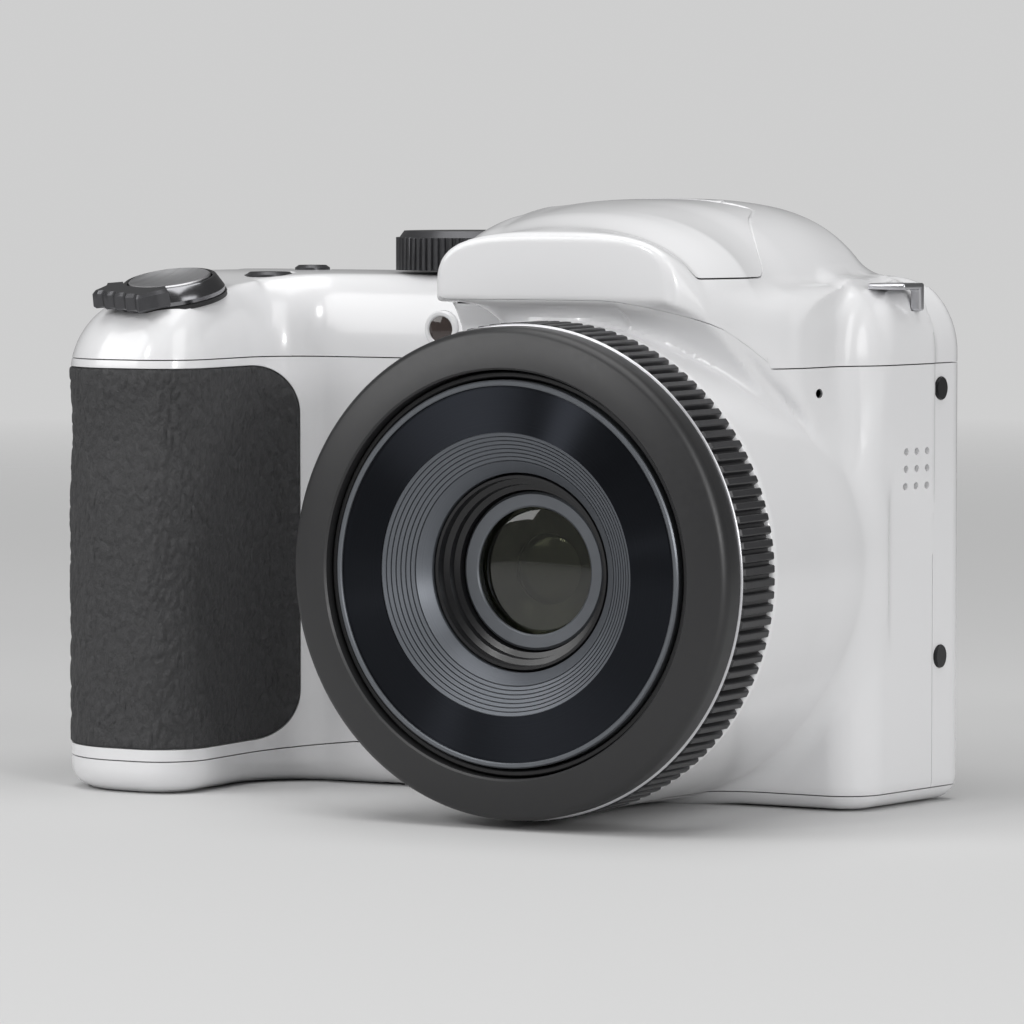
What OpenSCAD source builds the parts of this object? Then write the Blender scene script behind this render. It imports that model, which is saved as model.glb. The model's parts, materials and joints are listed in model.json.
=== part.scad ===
// Bridge camera with a telescoping zoom lens, a pop-up flash and a battery grip.
// Millimetres. The front looks along -Y, +X is the side away from the grip and +Z is up.
// The origin is the mouth of the tripod socket in the underside.

/* [Body] */
// Overall width of the body
body_w = 114; // [112:0.5:118]
// Height of the flat top deck above the battery cells
deck_lift = 12.5; // [12.2:0.1:13.2]
// Distance of the front face from the middle plane
body_front = 12; // [11.5:0.1:12.5]
// Distance of the rear face from the middle plane
body_rear = 12; // [12:0.1:13.5]
// Wall thickness of the moulded covers
wall = 1.6; // [1.3:0.05:1.8]
// Gap between two covers where they meet
seam_gap = 0.15; // [0.1:0.01:0.25]
// Height of the top cover from its seam to the deck
cap_h = 11.3; // [11:0.1:11.8]
// Height of the seam above the bottom cover at the grip
base_seam_z = 4.2; // [3.9:0.1:4.8]
// Height of the same seam below the lens and at the right
low_seam_z = 1.9; // [1.8:0.05:2.2]
// Depth of the rear cover
rear_depth = 8; // [7.8:0.1:8.4]
// How far the rear cover stands proud at its sides
rear_proud = 0.5; // [0.3:0.05:0.7]
// How much narrower the body is at its front right edge
side_taper = 2.6; // [2.2:0.1:2.6]
// Height of the rounded top edge
crown_h = 10; // [9:0.1:11]
// Radius of the rounded bottom edge
base_round = 3; // [2.4:0.1:3.4]

/* [Grip] */
// Distance of the grip's front from the middle plane
grip_front = 37; // [36.6:0.1:38.5]
// How much wider the grip is than a battery cell
grip_room = 8.3; // [7.9:0.1:9.2]
// Radius of the grip's outer front corner
grip_corner_r = 12; // [11:0.1:13]
// Radius of the grip's inner front corner
grip_inner_r = 7; // [6:0.1:8]
// Radius of the hollow between grip and body
grip_hollow_r = 8; // [7:0.1:9]
// Depth of the waist for the middle finger
finger_dip = 0.6; // [0.3:0.05:0.8]
// Thickness of the rubber panel
rubber_t = 1; // [0.8:0.05:1.1]
// How far the rubber stands proud of the cover
rubber_proud = 0.2; // [0.1:0.05:0.4]
// Corner radius of the rubber panel
rubber_r = 6.5; // [5:0.1:8]

/* [Lens] */
// Outer radius of the plain lens ring
ring_r = 31; // [30.8:0.05:31.4]
// Distance between the ring and the camera's right side
ring_side = 3.5; // [3.4:0.1:3.8]
// Height of the ring's lowest point above the underside
ring_lift = 1; // [0.9:0.05:1.3]
// Distance of the ring's front from the middle plane
ring_front = 50.8; // [50.2:0.1:51.6]
// Width of the ring's flat front
ring_land = 5.37; // [5.2:0.01:5.4]
// How far the knurled ring stands out past the plain ring
knurl_proud = 0.4; // [0.2:0.05:0.6]
// Length of the knurled ring
knurl_l = 8.6; // [8:0.1:9]
// Number of ribs round the knurled ring
knurl_count = 120; // [60:4:136]
// How far the neck's front stands out past the plain ring
neck_proud = 0.2; // [0.1:0.05:0.4]
// How much wider the neck is where it meets the body
neck_swell = 0.6; // [0.3:0.05:0.6]
// Gap round the first moving barrel
barrel_gap = 0.28; // [0.25:0.01:0.35]
// Gap between the two moving barrels
inner_gap = 0.31; // [0.28:0.01:0.35]
// Wall thickness of the moving barrels
barrel_wall = 0.7; // [0.6:0.01:0.72]
// Travel of the first barrel
barrel_travel = 22; // [16:0.5:23]
// Travel of the second barrel in the first one
inner_travel = 20; // [14:0.5:21]
// Length of each moving barrel
barrel_l = 28; // [27:0.5:29]
// Radius of the front glass that shows
glass_r = 8.07; // [7.6:0.01:8.4]
// Distance between the edge of the front glass and the funnel's inner edge
glass_inset = 4.53; // [4.4:0.01:4.8]

/* [Flash and hood] */
// Height of the flash lid from its lower edge to the top of the hump
lid_h = 9.7; // [9.4:0.1:10.2]
// How far the hood reaches over the knurled ring
hood_reach = 0.9; // [0.5:0.1:1.5]
// Distance between the lens ring and the lower edge of the flash lid
lid_lift = 5.9; // [5.7:0.1:6.4]

/* [Controls] */
// Radius of the mode dial
dial_r = 9.5; // [8.5:0.1:9.7]
// Height of the mode dial
dial_h = 5.3; // [4.5:0.1:6]
// Number of ribs round the mode dial
dial_ribs = 60; // [36:2:72]
// Radius of the shutter button
shutter_r = 5.5; // [5:0.05:5.7]
// Travel of the shutter button
shutter_travel = 0.8; // [0.4:0.05:1]
// Forward lean of the shutter button
shutter_tilt = 13; // [10:0.5:15]
// Travel of the small buttons
button_travel = 0.4; // [0.2:0.05:0.5]
// Gap round each button
button_gap = 0.25; // [0.2:0.01:0.35]

/* [Display] */
// Distance between the display window and the camera's right side
window_side = 5.5; // [5:0.1:7]
// Distance between the display window and the buttons beside it
window_gap = 6; // [5.5:0.1:8]
// Height of the display window's lower edge above the underside
window_low = 6.5; // [6.2:0.1:8]
// Distance between the display window and the seam above it
window_top = 2.8; // [2.6:0.1:4]
// Thickness of the display window
window_t = 0.9; // [0.7:0.05:1.2]

/* [Power and fastening] */
// Radius of a round cell
cell_r = 7.1; // [6.9:0.05:7.15]
// Length of a round cell
cell_l = 49.5; // [48:0.1:50]
// Outer radius of the tripod bush
bush_r = 5; // [4.5:0.1:6]
// Radius of the plain bore for the tripod screw
socket_r = 2.55; // [2.5:0.01:2.7]
// Depth of the tripod socket
socket_depth = 6.5; // [5:0.1:7]
// Radius of the heads of the small screws
screw_head_r = 1.45; // [1.2:0.05:1.6]

/* [Hidden] */
half_w = body_w / 2 - rear_proud;
cell_z = base_seam_z + 2.4;
grip_w = 2 * cell_r + grip_room;
deck_z = cell_z + cell_l + deck_lift;
top_seam_z = deck_z - cap_h;
rear_seam_y = body_rear - rear_depth;
lens_x = half_w - ring_side - ring_r;
lens_z = ring_lift + ring_r;
lid_z = lens_z + ring_r + lid_lift;
hump_z = lid_z + lid_h;
eps = 0.01;
big = 200;
slip = 0.3;

// The crown: how far each side leans in at the top of the body
crown_side = 10;
crown_front = 4.5;
crown_grip = 8;
crown_flank = 3;
// Fall of the grip's top towards the front, per millimetre
grip_fall = 0.15;
grip_fall_y = -7;

// Corner radii and corners of the body in plan
rear_r = 3.5;
side_r = 5;
grip_x = -half_w + grip_w;
front_right_x = half_w - side_taper;

// The finger waist
waist_z = top_seam_z - 9.8;
waist_half = 9;

// The rubber panel: the direction its inner edge faces, and where it ends at the back
rubber_turn = 30;
rubber_edge = [grip_x + 4.6, -body_front - 2];
rubber_back_y = rear_seam_y - 2.5;
rubber_low = base_seam_z + 1.7;
rubber_high = top_seam_z - 1.2;

// Radii of the ring, the neck and the barrels
ring_bore_r = ring_r - ring_land;
knurl_r = ring_r + knurl_proud;
knurl_depth = 0.9;
neck_r = ring_r + neck_proud;
neck_root_r = neck_r + neck_swell;
barrel_r = ring_bore_r - barrel_gap;
inner_barrel_r = barrel_r - barrel_wall - inner_gap;
base_r = ring_r - 1.6;
base_bore_r = barrel_r + slip;
base_wall = 1.6;

// Ring and barrels, as distances in front of the middle plane
trim_front = ring_front - 4.5;
trim_t = 0.4;
knurl_front = trim_front - trim_t;
knurl_back = knurl_front - knurl_l;
neck_front = knurl_back - 0.1;
hood_front = knurl_back + hood_reach;
neck_back = body_front - wall + 0.3;
base_back = body_front + 2;
barrel_front = ring_front - 1.4;
inner_front = ring_front - 0.6;
housing_r = 15;
sensor_front = -1.2;

// The hump: [distance in front of middle, half width, lower z, upper z, roundness]
hump_rows = [
    [hood_front, 14.5, lid_z - 2.4, hump_z - 5.4, 3],
    [hood_front - 0.8, 16.6, lid_z - 3.6, hump_z - 4.2, 2.6],
    [hood_front - 2.2, 18.2, lid_z - 4.2, hump_z - 3.6, 2.2],
    [hood_front - 4.2, 19.6, lid_z - 6.4, hump_z - 3.2, 2],
    [28, 22.2, lid_z - 11.3, hump_z - 1.6, 2.1],
    [20, 24.3, lid_z - 17.9, hump_z - 0.5, 2.3],
    [14, 25.4, lid_z - 22.9, hump_z - 0.1, 2.4],
    [4, 26.4, lid_z - 24.9, hump_z, 2.5],
    [-3, 26.6, lid_z - 24.9, hump_z - 0.3, 2.5],
    [-8, 25.6, lid_z - 22.9, hump_z - 2.2, 2.5],
    [1 - body_rear, 22.5, lid_z - 20.9, hump_z - 7, 2.5]
];
hump_waist_z = lid_z - 4.9;
dome_steps = 8;

// The right shoulder: [depth below the deck, front y, crest from the side, crest y, flank from it]
shoulder_rows = [
    [34.6, -11.6, 4, -9, 2],
    [25.6, -13.2, 4.2, -11.5, 1.9],
    [20, -15.5, 4.9, -13.5, 1.7],
    [15.6, -18.5, 5.7, -16.5, 1.5],
    [10.6, -23, 6.9, -20.2, 1.3],
    [6.6, -26, 8.3, -21.8, 2.1],
    [3.6, -28, 10.2, -22, 4.1],
    [1, -29, 13, -21, 8]
];
shoulder_root_x = half_w - 20.5;

// The flash lid's outline seen from the side, as [y, z]
lid_skin = 1.4;
lid_clear = 0.2;
lid_front_y = -hood_front + 3.4;
hinge_y = -6.6;
hinge_z = hump_z - 1.2;
lid_side = [
    [lid_front_y, lid_z], [-22.8, lid_z], [-21.2, lid_z + 1.4], [-19.9, lid_z + 3.6],
    [-15, lid_z + 6.8], [hinge_y - 0.5, hinge_z], [hinge_y - 0.5, hump_z + 3],
    [lid_front_y, hump_z + 3]
];
hinge_pin_r = 0.5;
hinge_knuckle_r = 1;
hinge_half = 4;

// The flash head under the lid, seen from the side, as [y, z]
head_y = -hood_front + 5.2;
head_half = 11;
head_top = lid_z + 2.4;
head_low = lid_z - 1.6;
head_side = [
    [head_y, head_top - 0.6], [head_y + 4.6, head_low], [head_y + 17, head_low],
    [head_y + 19.5, head_low + 2], [head_y + 19.5, head_top], [head_y, head_top]
];
tube_r = 0.9;
tray_floor_z = lid_z - 3.6;
tray_half = 16;
tray_front = head_y - 0.6;
tray_back = -10;

// Controls on the top
dial_pos = [lens_x - ring_r - 2.5, 0];
dial_z = deck_z + 0.25;
spindle_r = 1.5;
spindle_clear = 0.05;
shutter_pos = [-half_w + 14.5, -grip_front + 11, deck_z - 2.3];
lever_r = 7.2;
lever_h = 3.3;
tab_reach = 10.3;
tab_half = 4.4;
power_pos = [-half_w + 19.2, -8.5];
power_r = 3.2;
burst_pos = [-half_w + 18.5, 4];
burst_r = 2.4;
button_rise = 0.7;
flange_t = 0.7;
flange_out = 0.6;

// Controls on the back, as [x, z] and a radius
window_h = top_seam_z - window_top - window_low;
pad_pos = [-half_w + 20.5, window_low + window_h / 2 - 5.5];
pad_r = 9.5;
ok_r = 4;
record_pos = [pad_pos.x + 10, top_seam_z - 8.3];
record_r = 3;
menu_pos = [pad_pos.x + pad_r, pad_pos.y + 14];
play_pos = [pad_pos.x - pad_r, pad_pos.y + 14];
info_pos = [pad_pos.x + pad_r, pad_pos.y - 14];
delete_pos = [pad_pos.x - pad_r, pad_pos.y - 14];
back_r = 2.6;
thumb_pos = [play_pos.x, top_seam_z - 8.1];
thumb_size = [15, 9];

// Display
window_left = record_pos.x + record_r + window_gap;
window_w = half_w - window_side - window_left;
window_pos = [window_left + window_w / 2, window_low + window_h / 2];
view_w = window_w - 6;
view_h = window_h - 5;
panel_t = 2;
panel_back = body_rear - 0.6;

// Metal frame and board behind the display
board_y = panel_back - panel_t - 3;
board_t = 1;
frame_y = board_y - 1.7;
frame_t = 0.8;

// Cells, seen from above, as [x, y]
cell_x = -half_w + cell_r + 4.2;
cell_pitch = 2 * cell_r + 0.3;
cell_back = body_rear - wall - 1.6 - cell_r;
cell_row = floor((cell_back + grip_front - wall - 1 - cell_r) / cell_pitch + eps);
cell_y = cell_back - cell_row * cell_pitch;
cells = concat(
    [for (k = [0:cell_row]) [cell_x, cell_y + k * cell_pitch]], [[cell_x + cell_pitch, cell_back]]);
box_wall = 0.7;
box_right = cell_x + cell_pitch + cell_r + 0.15 + box_wall;

// Battery door in the underside
door_t = 1.8;
door_hinge_x = box_right + 3.75;
door_hinge_z = door_t / 2;
door_barrel_r = door_t / 2;
door_pin_r = 0.4;
door_half = 8;
door_inset = 2.4;
latch_pos = [-half_w + 9.5, -grip_front + 23];
latch_size = [6, 9];
latch_travel = 2;
latch_t = 0.9;

// Small parts
lamp_pos = [lens_x - ring_r + 0.3, top_seam_z + 3.9];
lamp_r = 1.75;
lamp_collar_r = 2.5;
mic_turn = 40.4;
mic_reach = neck_root_r + 1.8;
mic_pos = [lens_x + mic_reach * cos(mic_turn), -16.2, lens_z + mic_reach * sin(mic_turn)];
mic_r = 0.6;
speaker_pos = [-0.4, top_seam_z - 13.5];
speaker_pitch = 2.24;
speaker_hole_r = 0.48;
side_screw_y = rear_seam_y + 1.8;
side_screw_l = 2.2;
side_screw_z = [19, top_seam_z - 3.3];
base_screw_x = half_w - 18.5;
base_screws = [
    [14, -5], [base_screw_x, -4], [base_screw_x, frame_y + 2.7], [door_hinge_x + 7, -6]
];
lug_y = [-8, 1];
lug_z = deck_z - 2.7;
lug_t = 1.3;
lug_out = 3.6;
port_y = rear_seam_y + 3.2;
port_z = 28;
port_w = 2.2;
port_h = 7.6;
port_l = 3.6;
flap_t = 0.7;
flap_w = 3.8;
flap_h = 11;
flap_gap = 0.1;
flap_knuckle_r = 0.55;
flap_pin_r = 0.25;
flap_pin_l = 0.6;

// Plain helpers

function clamp01(v) = min(max(v, 0), 1);

function arc(cx, cy, r, from, to, steps) =
    [for (k = [0:steps]) let (a = from + (to - from) * k / steps) [cx + r * cos(a), cy + r * sin(a)]];

function waist(z) = let (q = (z - waist_z) / waist_half)
    abs(q) < 1 ? finger_dip * (0.5 + 0.5 * cos(180 * q)) : 0;

// Stacks closed rings of points into one solid. Each ring turns anticlockwise seen from the end.
module loft(rings) {
    n = len(rings[0]);
    m = len(rings);
    sides = [for (j = [0:m - 2]) for (k = [0:n - 1]) let (a = j * n + k, b = j * n + (k + 1) % n)
        each [[a, a + n, b + n], [a, b + n, b]]];
    polyhedron(
        points = [for (ring = rings) each ring],
        faces = concat(
            [[for (k = [0:n - 1]) k]], [[for (k = [n - 1:-1:0]) (m - 1) * n + k]], sides));
}

// A disc or tube about the lens axis between two distances in front of the middle plane
module lens_tube(front, back, r, bore = 0) {
    translate([lens_x, -front, lens_z]) rotate([-90, 0, 0]) difference() {
        cylinder(r = r, h = front - back, $fn = 96);
        if (bore > 0) translate([0, 0, -1]) cylinder(r = bore, h = front - back + 2, $fn = 96);
    }
}

// A ring about the lens axis from a profile of [radius, distance in front of middle]
module lens_turn(profile, fn = 96) {
    translate([lens_x, 0, lens_z]) rotate([90, 0, 0]) rotate_extrude($fn = fn) polygon(profile);
}

// A plate seen from the side, as [y, z] points, from one x to another
module side_plate(x0, x1) {
    translate([x0, 0, 0]) rotate([90, 0, 90]) linear_extrude(x1 - x0) children();
}

// A plate seen from the front, as [x, z] points, from one y to another
module front_plate_at(y0, y1) {
    translate([0, y1, 0]) rotate([90, 0, 0]) linear_extrude(y1 - y0) children();
}

// A rib or post that is slimmer at its end than at its root
module taper(from, to, r_from, r_to) {
    hull() {
        translate(from) cylinder(r = r_from, h = eps, $fn = 16);
        translate(to) cylinder(r = r_to, h = eps, $fn = 16);
    }
}

module rounded(w, h, r) {
    hull() for (x = [-1, 1], y = [-1, 1])
        translate([x * (w / 2 - r), y * (h / 2 - r)]) circle(r = r, $fn = 32);
}

// The outer form of the camera, and the same form pulled in by a wall

// One horizontal outline, with the sides, front, grip and flank pulled in by their own amounts
function outline(i, side, front, grip, flank, fine) = let (
    xl = -half_w + i + side,
    xr = half_w - i - side,
    xf = front_right_x - i - side,
    yr = body_rear - i - front,
    yf = -body_front + i + front,
    yg = -grip_front + i + grip,
    xg = grip_x - i - flank,
    r1 = max(rear_r - i, 1),
    r2 = max(min(grip_corner_r - i, 0.62 * (xg - xl)), 1),
    r3 = max(min(grip_inner_r - i, 0.36 * (xg - xl)), 1),
    r4 = max(side_r - i, 1),
    hollow = grip_hollow_r + i
) concat(
    arc(xr - r1, yr - r1, r1, 0, 90, 2 * fine),
    arc(xl + r1, yr - r1, r1, 90, 180, 2 * fine),
    arc(xl + r2, yg + r2, r2, 180, 270, 4 * fine),
    arc(xg - r3, yg + r3, r3, 270, 360, 3 * fine),
    arc(xg + hollow, yf - hollow, hollow, 180, 90, 3 * fine),
    arc(xf - r4, yf + r4, r4, 270, 360, 2 * fine)
);

// One level of the body. top runs from 0 at the side wall to 1 on the deck.
function body_ring(z, i, low, top, fine) =
    let (fall = grip_fall * clamp01((z - top_seam_z) / (deck_z - i - top_seam_z)))
    [for (p = outline(i, low + crown_side * top, low + crown_front * top,
            low + crown_grip * top + waist(z), low + crown_flank * top, fine))
        [p.x, p.y, z - fall * max(grip_fall_y - p.y, 0)]];

function body_rings(i, fine) = concat(
    [for (a = [0:30:90]) body_ring(i + (base_round - i / 2) * (1 - cos(a)), i,
        (base_round - i / 2) * (1 - sin(a)), 0, fine)],
    [for (z = [15, waist_z - waist_half - 2.5, waist_z - waist_half, waist_z - waist_half / 2,
            waist_z, waist_z + waist_half / 2, top_seam_z])
        body_ring(z, i, 0, 0, fine)],
    [for (a = [0:15:90]) body_ring(deck_z - i - (crown_h - i) * (1 - sin(a)), i, 0,
        1 - cos(a), fine)]
);

module body_form(i, fine = 2) {
    loft(body_rings(i, fine));
}

// Front view section of the hump: straight sides on a flat base, and a domed top
function hump_section(row, i) = let (
    half = row[1] - i,
    low = row[2] + i,
    high = row[3] - i,
    shoulder = max(min(row[2] + 8, hump_waist_z), row[2] + 1.2) + i / 2,
    right = [for (k = [0:dome_steps]) let (a = 90 * k / dome_steps) [
        half * pow(cos(a), 2 / row[4]), shoulder + (high - shoulder) * pow(sin(a), 2 / row[4])]]
) concat(
    [[-half + 0.8, low], [half - 0.8, low], [half, low + 0.8]], right,
    [for (k = [dome_steps - 1:-1:0]) [-right[k].x, right[k].y]],
    [[-half, low + 0.8]]
);

// The two ends of the hump are pulled in along Y as well
module hump_slice(row, i) {
    inward = row[0] > hood_front - 3 ? i : row[0] < -6 ? -i : 0;
    translate([lens_x, -row[0] + inward, 0])
        rotate([90, 0, 0]) linear_extrude(eps) polygon(hump_section(row, i));
}

module hump(i) {
    for (k = [0:len(hump_rows) - 2]) hull() {
        hump_slice(hump_rows[k], i);
        hump_slice(hump_rows[k + 1], i);
    }
}

function shoulder_outline(row, i) = let (
    front = row[1] + i,
    crest = [half_w - row[2] - i, row[3]],
    side = half_w - row[4] - i
) [
    [shoulder_root_x, front], [crest.x - 2.6, front],
    [crest.x - 1, (2 * front + crest.y) / 3 + 0.3], crest,
    [crest.x + 0.6 * (side - crest.x), (crest.y - 4) / 2], [side, -1], [side, 3], [shoulder_root_x, 3]
];

module shoulder_slice(row, i) {
    translate([0, 0, deck_z - max(row[0], 1 + i)]) linear_extrude(eps)
        polygon(shoulder_outline(row, i));
}

module shoulder(i) {
    for (k = [0:len(shoulder_rows) - 2]) hull() {
        shoulder_slice(shoulder_rows[k], i);
        shoulder_slice(shoulder_rows[k + 1], i);
    }
}

module outer_form() {
    body_form(0);
    hump(0);
    shoulder(0);
}

module inner_form() {
    body_form(wall, 1);
    hump(wall);
    shoulder(wall);
}

module neck(grow = 0) {
    lens_turn([
        [0, neck_back], [neck_root_r + grow, neck_back],
        [neck_root_r + grow, body_front + 2], [neck_r + 0.2 + grow, body_front + 12],
        [neck_r + grow, neck_front - 0.6], [neck_r - 0.6 + grow, neck_front + grow],
        [0, neck_front + grow]
    ], 80);
}

// Everything below the seam of the bottom cover
module lower_zone(grow) {
    front_plate_at(-big, big) polygon([
        [-big, -big], [big, -big], [big, low_seam_z + grow], [4, low_seam_z + grow],
        [-10, base_seam_z + 1.4 + grow], [grip_x + 12, base_seam_z + 1.4 + grow],
        [grip_x, base_seam_z + grow], [-big, base_seam_z + grow]
    ]);
}

module above(z) {
    translate([-big / 2, -big / 2, z]) cube(big);
}

module behind(y) {
    translate([-big / 2, y, -big / 2]) cube(big);
}

// The region of the rubber panel, drawn on a plane that faces its inner edge
module rubber_zone(grow) {
    edge = rubber_edge.x * cos(rubber_turn) + rubber_edge.y * sin(rubber_turn) + grow;
    r = rubber_r + grow;
    difference() {
        rotate([0, 0, rubber_turn]) front_plate_at(-big, big) hull()
            for (x = [edge - r, edge - 70], z = [rubber_low - grow + r, rubber_high + grow - r])
                translate([x, z]) circle(r = r, $fn = 40);
        behind(rubber_back_y + grow);
    }
}

// Pegs on the back of the rubber, and with some clearance their holes in the cover
module rubber_pegs(grow) {
    for (z = [16, 30, 40, 52]) {
        taper([-half_w + 0.7, -12, z], [-half_w + wall, -12, z], 0.8 + grow, 0.6 + grow);
        taper([-44, -grip_front + 0.7, z], [-44, -grip_front + wall, z], 0.8 + grow, 0.6 + grow);
    }
}

// Moves to the shutter button: its axis leans forward
module at_shutter() {
    translate(shutter_pos) rotate([shutter_tilt, 0, 0]) children();
}

// Moves to the lens side wall, looking out along +X
module on_side(x, y, z) {
    translate([x, y, z]) rotate([0, 90, 0]) children();
}

// Moves to the inside of the microphone's hole, looking out of it
module at_mic() {
    translate(mic_pos) rotate([90, 0, 45]) children();
}

// Covers

module front_cover() color("white") {
    difference() {
        union() {
            intersection() {
                difference() {
                    outer_form();
                    inner_form();
                }
                translate([-big / 2, -big, -1])
                    cube([big, big + rear_seam_y - seam_gap / 2, top_seam_z - seam_gap / 2 + 1]);
            }
            intersection() {
                neck();
                above(0);
            }
        }
        lens_tube(neck_front + 1, 0, base_r + 0.1);
        lower_zone(seam_gap / 2);
        difference() {
            rubber_zone(0.1);
            body_form(rubber_t - rubber_proud);
        }
        at_mic() cylinder(r = mic_r, h = 8, $fn = 24);
        for (a = [-1:1], b = [-1:1])
            on_side(half_w - 4, speaker_pos.x + a * speaker_pitch, speaker_pos.y + b * speaker_pitch)
                cylinder(r = speaker_hole_r, h = 8, $fn = 16);
    }
    for (z = side_screw_z)
        translate([front_right_x - 3, rear_seam_y - 2.4, z - 2.4]) cube([3.3, 2, 4.8]);
}

module rear_cover() color("white") difference() {
    union() {
        rear_posts();
        rear_shell();
    }
    lower_zone(seam_gap / 2);
    front_plate_at(body_rear - wall - 1, big) translate(window_pos) rounded(view_w, view_h, 1);
    front_plate_at(body_rear - 0.3, big) translate(window_pos)
        rounded(window_w + 0.1, window_h + 0.1, 2);
    button_holes();
    for (z = side_screw_z) on_side(half_w - 3, side_screw_y, z) {
        cylinder(r = 0.9, h = 6, $fn = 20);
        translate([0, 0, 2]) cylinder(r = screw_head_r + 0.1, h = 6, $fn = 24);
    }
    translate([-half_w - 2, port_y - flap_w / 2 - flap_gap, port_z - flap_h / 2 - flap_gap])
        cube([2 + flap_t - rear_proud + flap_gap, flap_w + 2 * flap_gap, flap_h + 2 * flap_gap]);
    flap_turn(flap_knuckle_r + flap_gap, flap_h / 2 + flap_gap);
    flap_turn(flap_pin_r + 0.05, flap_h / 2 + flap_pin_l + 0.1);
    translate([-half_w - 2, port_y - port_w / 2 - 0.4, port_z - port_h / 2 - 0.4])
        cube([6, port_w + 0.8, port_h + 0.8]);
    front_plate_at(body_rear - 0.5, big) thumb_outline(0.05);
}

// Short posts round the display that steady the frame behind it
module rear_posts() {
    for (x = [-1, 1], z = [10, 24, 38, 51])
        translate([window_pos.x + x * (view_w / 2 + 1.6), 0, z]) rotate([-90, 0, 0])
            taper([0, 0, board_y + board_t + 0.6], [0, 0, body_rear - wall + 0.5], 0.8, 1.1);
}

module rear_shell() {
    intersection() {
        difference() {
            union() {
                body_form(0);
                intersection() {
                    body_form(-rear_proud);
                    translate([-big / 2, rear_seam_y, base_seam_z + 1.6])
                        cube([big, big, top_seam_z - base_seam_z - 4.2]);
                }
            }
            body_form(wall, 1);
        }
        translate([-big / 2, rear_seam_y + seam_gap / 2, -1])
            cube([big, big, top_seam_z - seam_gap / 2 + 1]);
    }
}

module top_cover() color("white") difference() {
    union() {
        intersection() {
            difference() {
                outer_form();
                inner_form();
            }
            above(top_seam_z + seam_gap / 2);
        }
        at_shutter() translate([0, 0, -6]) cylinder(r = lever_r + 0.7, h = 5.6, $fn = 44);
        translate([dial_pos.x, dial_pos.y, deck_z - wall - 0.4])
            cylinder(r = dial_r - 1.2, h = wall + 0.4, $fn = 64);
        for (side = [-1, 1]) translate([lens_x + side * (hinge_half + 2.4), hinge_y, hinge_z])
            rotate([0, 90, 0]) cylinder(r = hinge_knuckle_r, h = 4, center = true, $fn = 24);
        lug_block();
    }
    intersection() {
        neck(seam_gap);
        translate([-big / 2, -big, -1]) cube([big, big - 6, big]);
    }
    lens_tube(neck_front + 1, 8, base_r + 0.1);
    lid_zone(lid_clear);
    translate([lens_x - hinge_half - 0.3, hinge_y - 3.4, hinge_z - 2.2])
        cube([2 * hinge_half + 0.6, 4.7, 5]);
    pin_bore(hinge_pin_r + 0.02, hinge_half + 5);
    at_shutter() {
        translate([0, 0, -8]) cylinder(r = 2.8, h = 10, $fn = 32);
        translate([0, 0, -0.4]) cylinder(r = lever_r + 0.5, h = 6, $fn = 64);
        translate([0, 0, 0.1]) cylinder(r = tab_reach + 0.7, h = 6, $fn = 64);
    }
    translate([dial_pos.x, dial_pos.y, deck_z - 8]) cylinder(r = spindle_r + 0.02, h = 12, $fn = 32);
    translate([power_pos.x, power_pos.y, deck_z - 6])
        cylinder(r = power_r + button_gap, h = 10, $fn = 40);
    translate([burst_pos.x, burst_pos.y, deck_z - 6])
        cylinder(r = burst_r + button_gap, h = 10, $fn = 40);
    translate([lamp_pos.x, -body_front + 4, lamp_pos.y]) rotate([90, 0, 0])
        cylinder(r = lamp_collar_r, h = 8, $fn = 32);
    lug_slots();
}

module bottom_cover() color("white") difference() {
    union() {
        intersection() {
            difference() {
                body_form(0);
                body_form(wall + 0.3, 1);
            }
            lower_zone(-seam_gap / 2);
        }
        for (p = base_screws) {
            taper([p.x, p.y, 1], [p.x, p.y, 5.2], 1.7, 1.6);
            for (x = [-4, 4]) taper([p.x + x, p.y, 1], [p.x + x / 4, p.y, 4], 0.6, 0.5);
        }
        translate([0, 0, 0.6]) cylinder(r = bush_r + 1.6, h = 5.4, $fn = 40);
    }
    intersection() {
        neck(seam_gap);
        translate([-big / 2, -big, -1]) cube([big, big - body_front + 1.5, big]);
    }
    translate([0, 0, -1]) linear_extrude(door_t + 3) door_outline(0.25);
    translate([0, 0, -1]) cylinder(r = bush_r + 0.02, h = 10, $fn = 48);
    for (p = base_screws) translate([p.x, p.y, -1]) {
        cylinder(r = 0.9, h = 6, $fn = 20);
        cylinder(r = screw_head_r + 0.1, h = 1.9, $fn = 24);
    }
}

// The rubber panel on the grip
module grip_rubber() color("dimgray") {
    intersection() {
        difference() {
            body_form(-rubber_proud);
            body_form(rubber_t - rubber_proud - eps);
        }
        rubber_zone(0);
    }
}

module thumb_outline(grow) {
    translate(thumb_pos) rounded(thumb_size.x + 2 * grow, thumb_size.y + 2 * grow, 4);
}

module thumb_rest() color("dimgray")
    front_plate_at(body_rear - 0.5, body_rear + 0.5) thumb_outline(0);

// Lens

module lens_ring() color("dimgray") lens_turn([
    [ring_bore_r, trim_front], [ring_bore_r, ring_front - 0.2], [ring_bore_r + 0.2, ring_front],
    [ring_r - 0.7, ring_front - 0.85], [ring_r - 0.25, ring_front - 1.25],
    [ring_r, ring_front - 1.9], [ring_r, trim_front]
], 120);

module trim_ring() color("silver") lens_tube(trim_front, knurl_front, ring_r + 0.1, base_bore_r);

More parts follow.
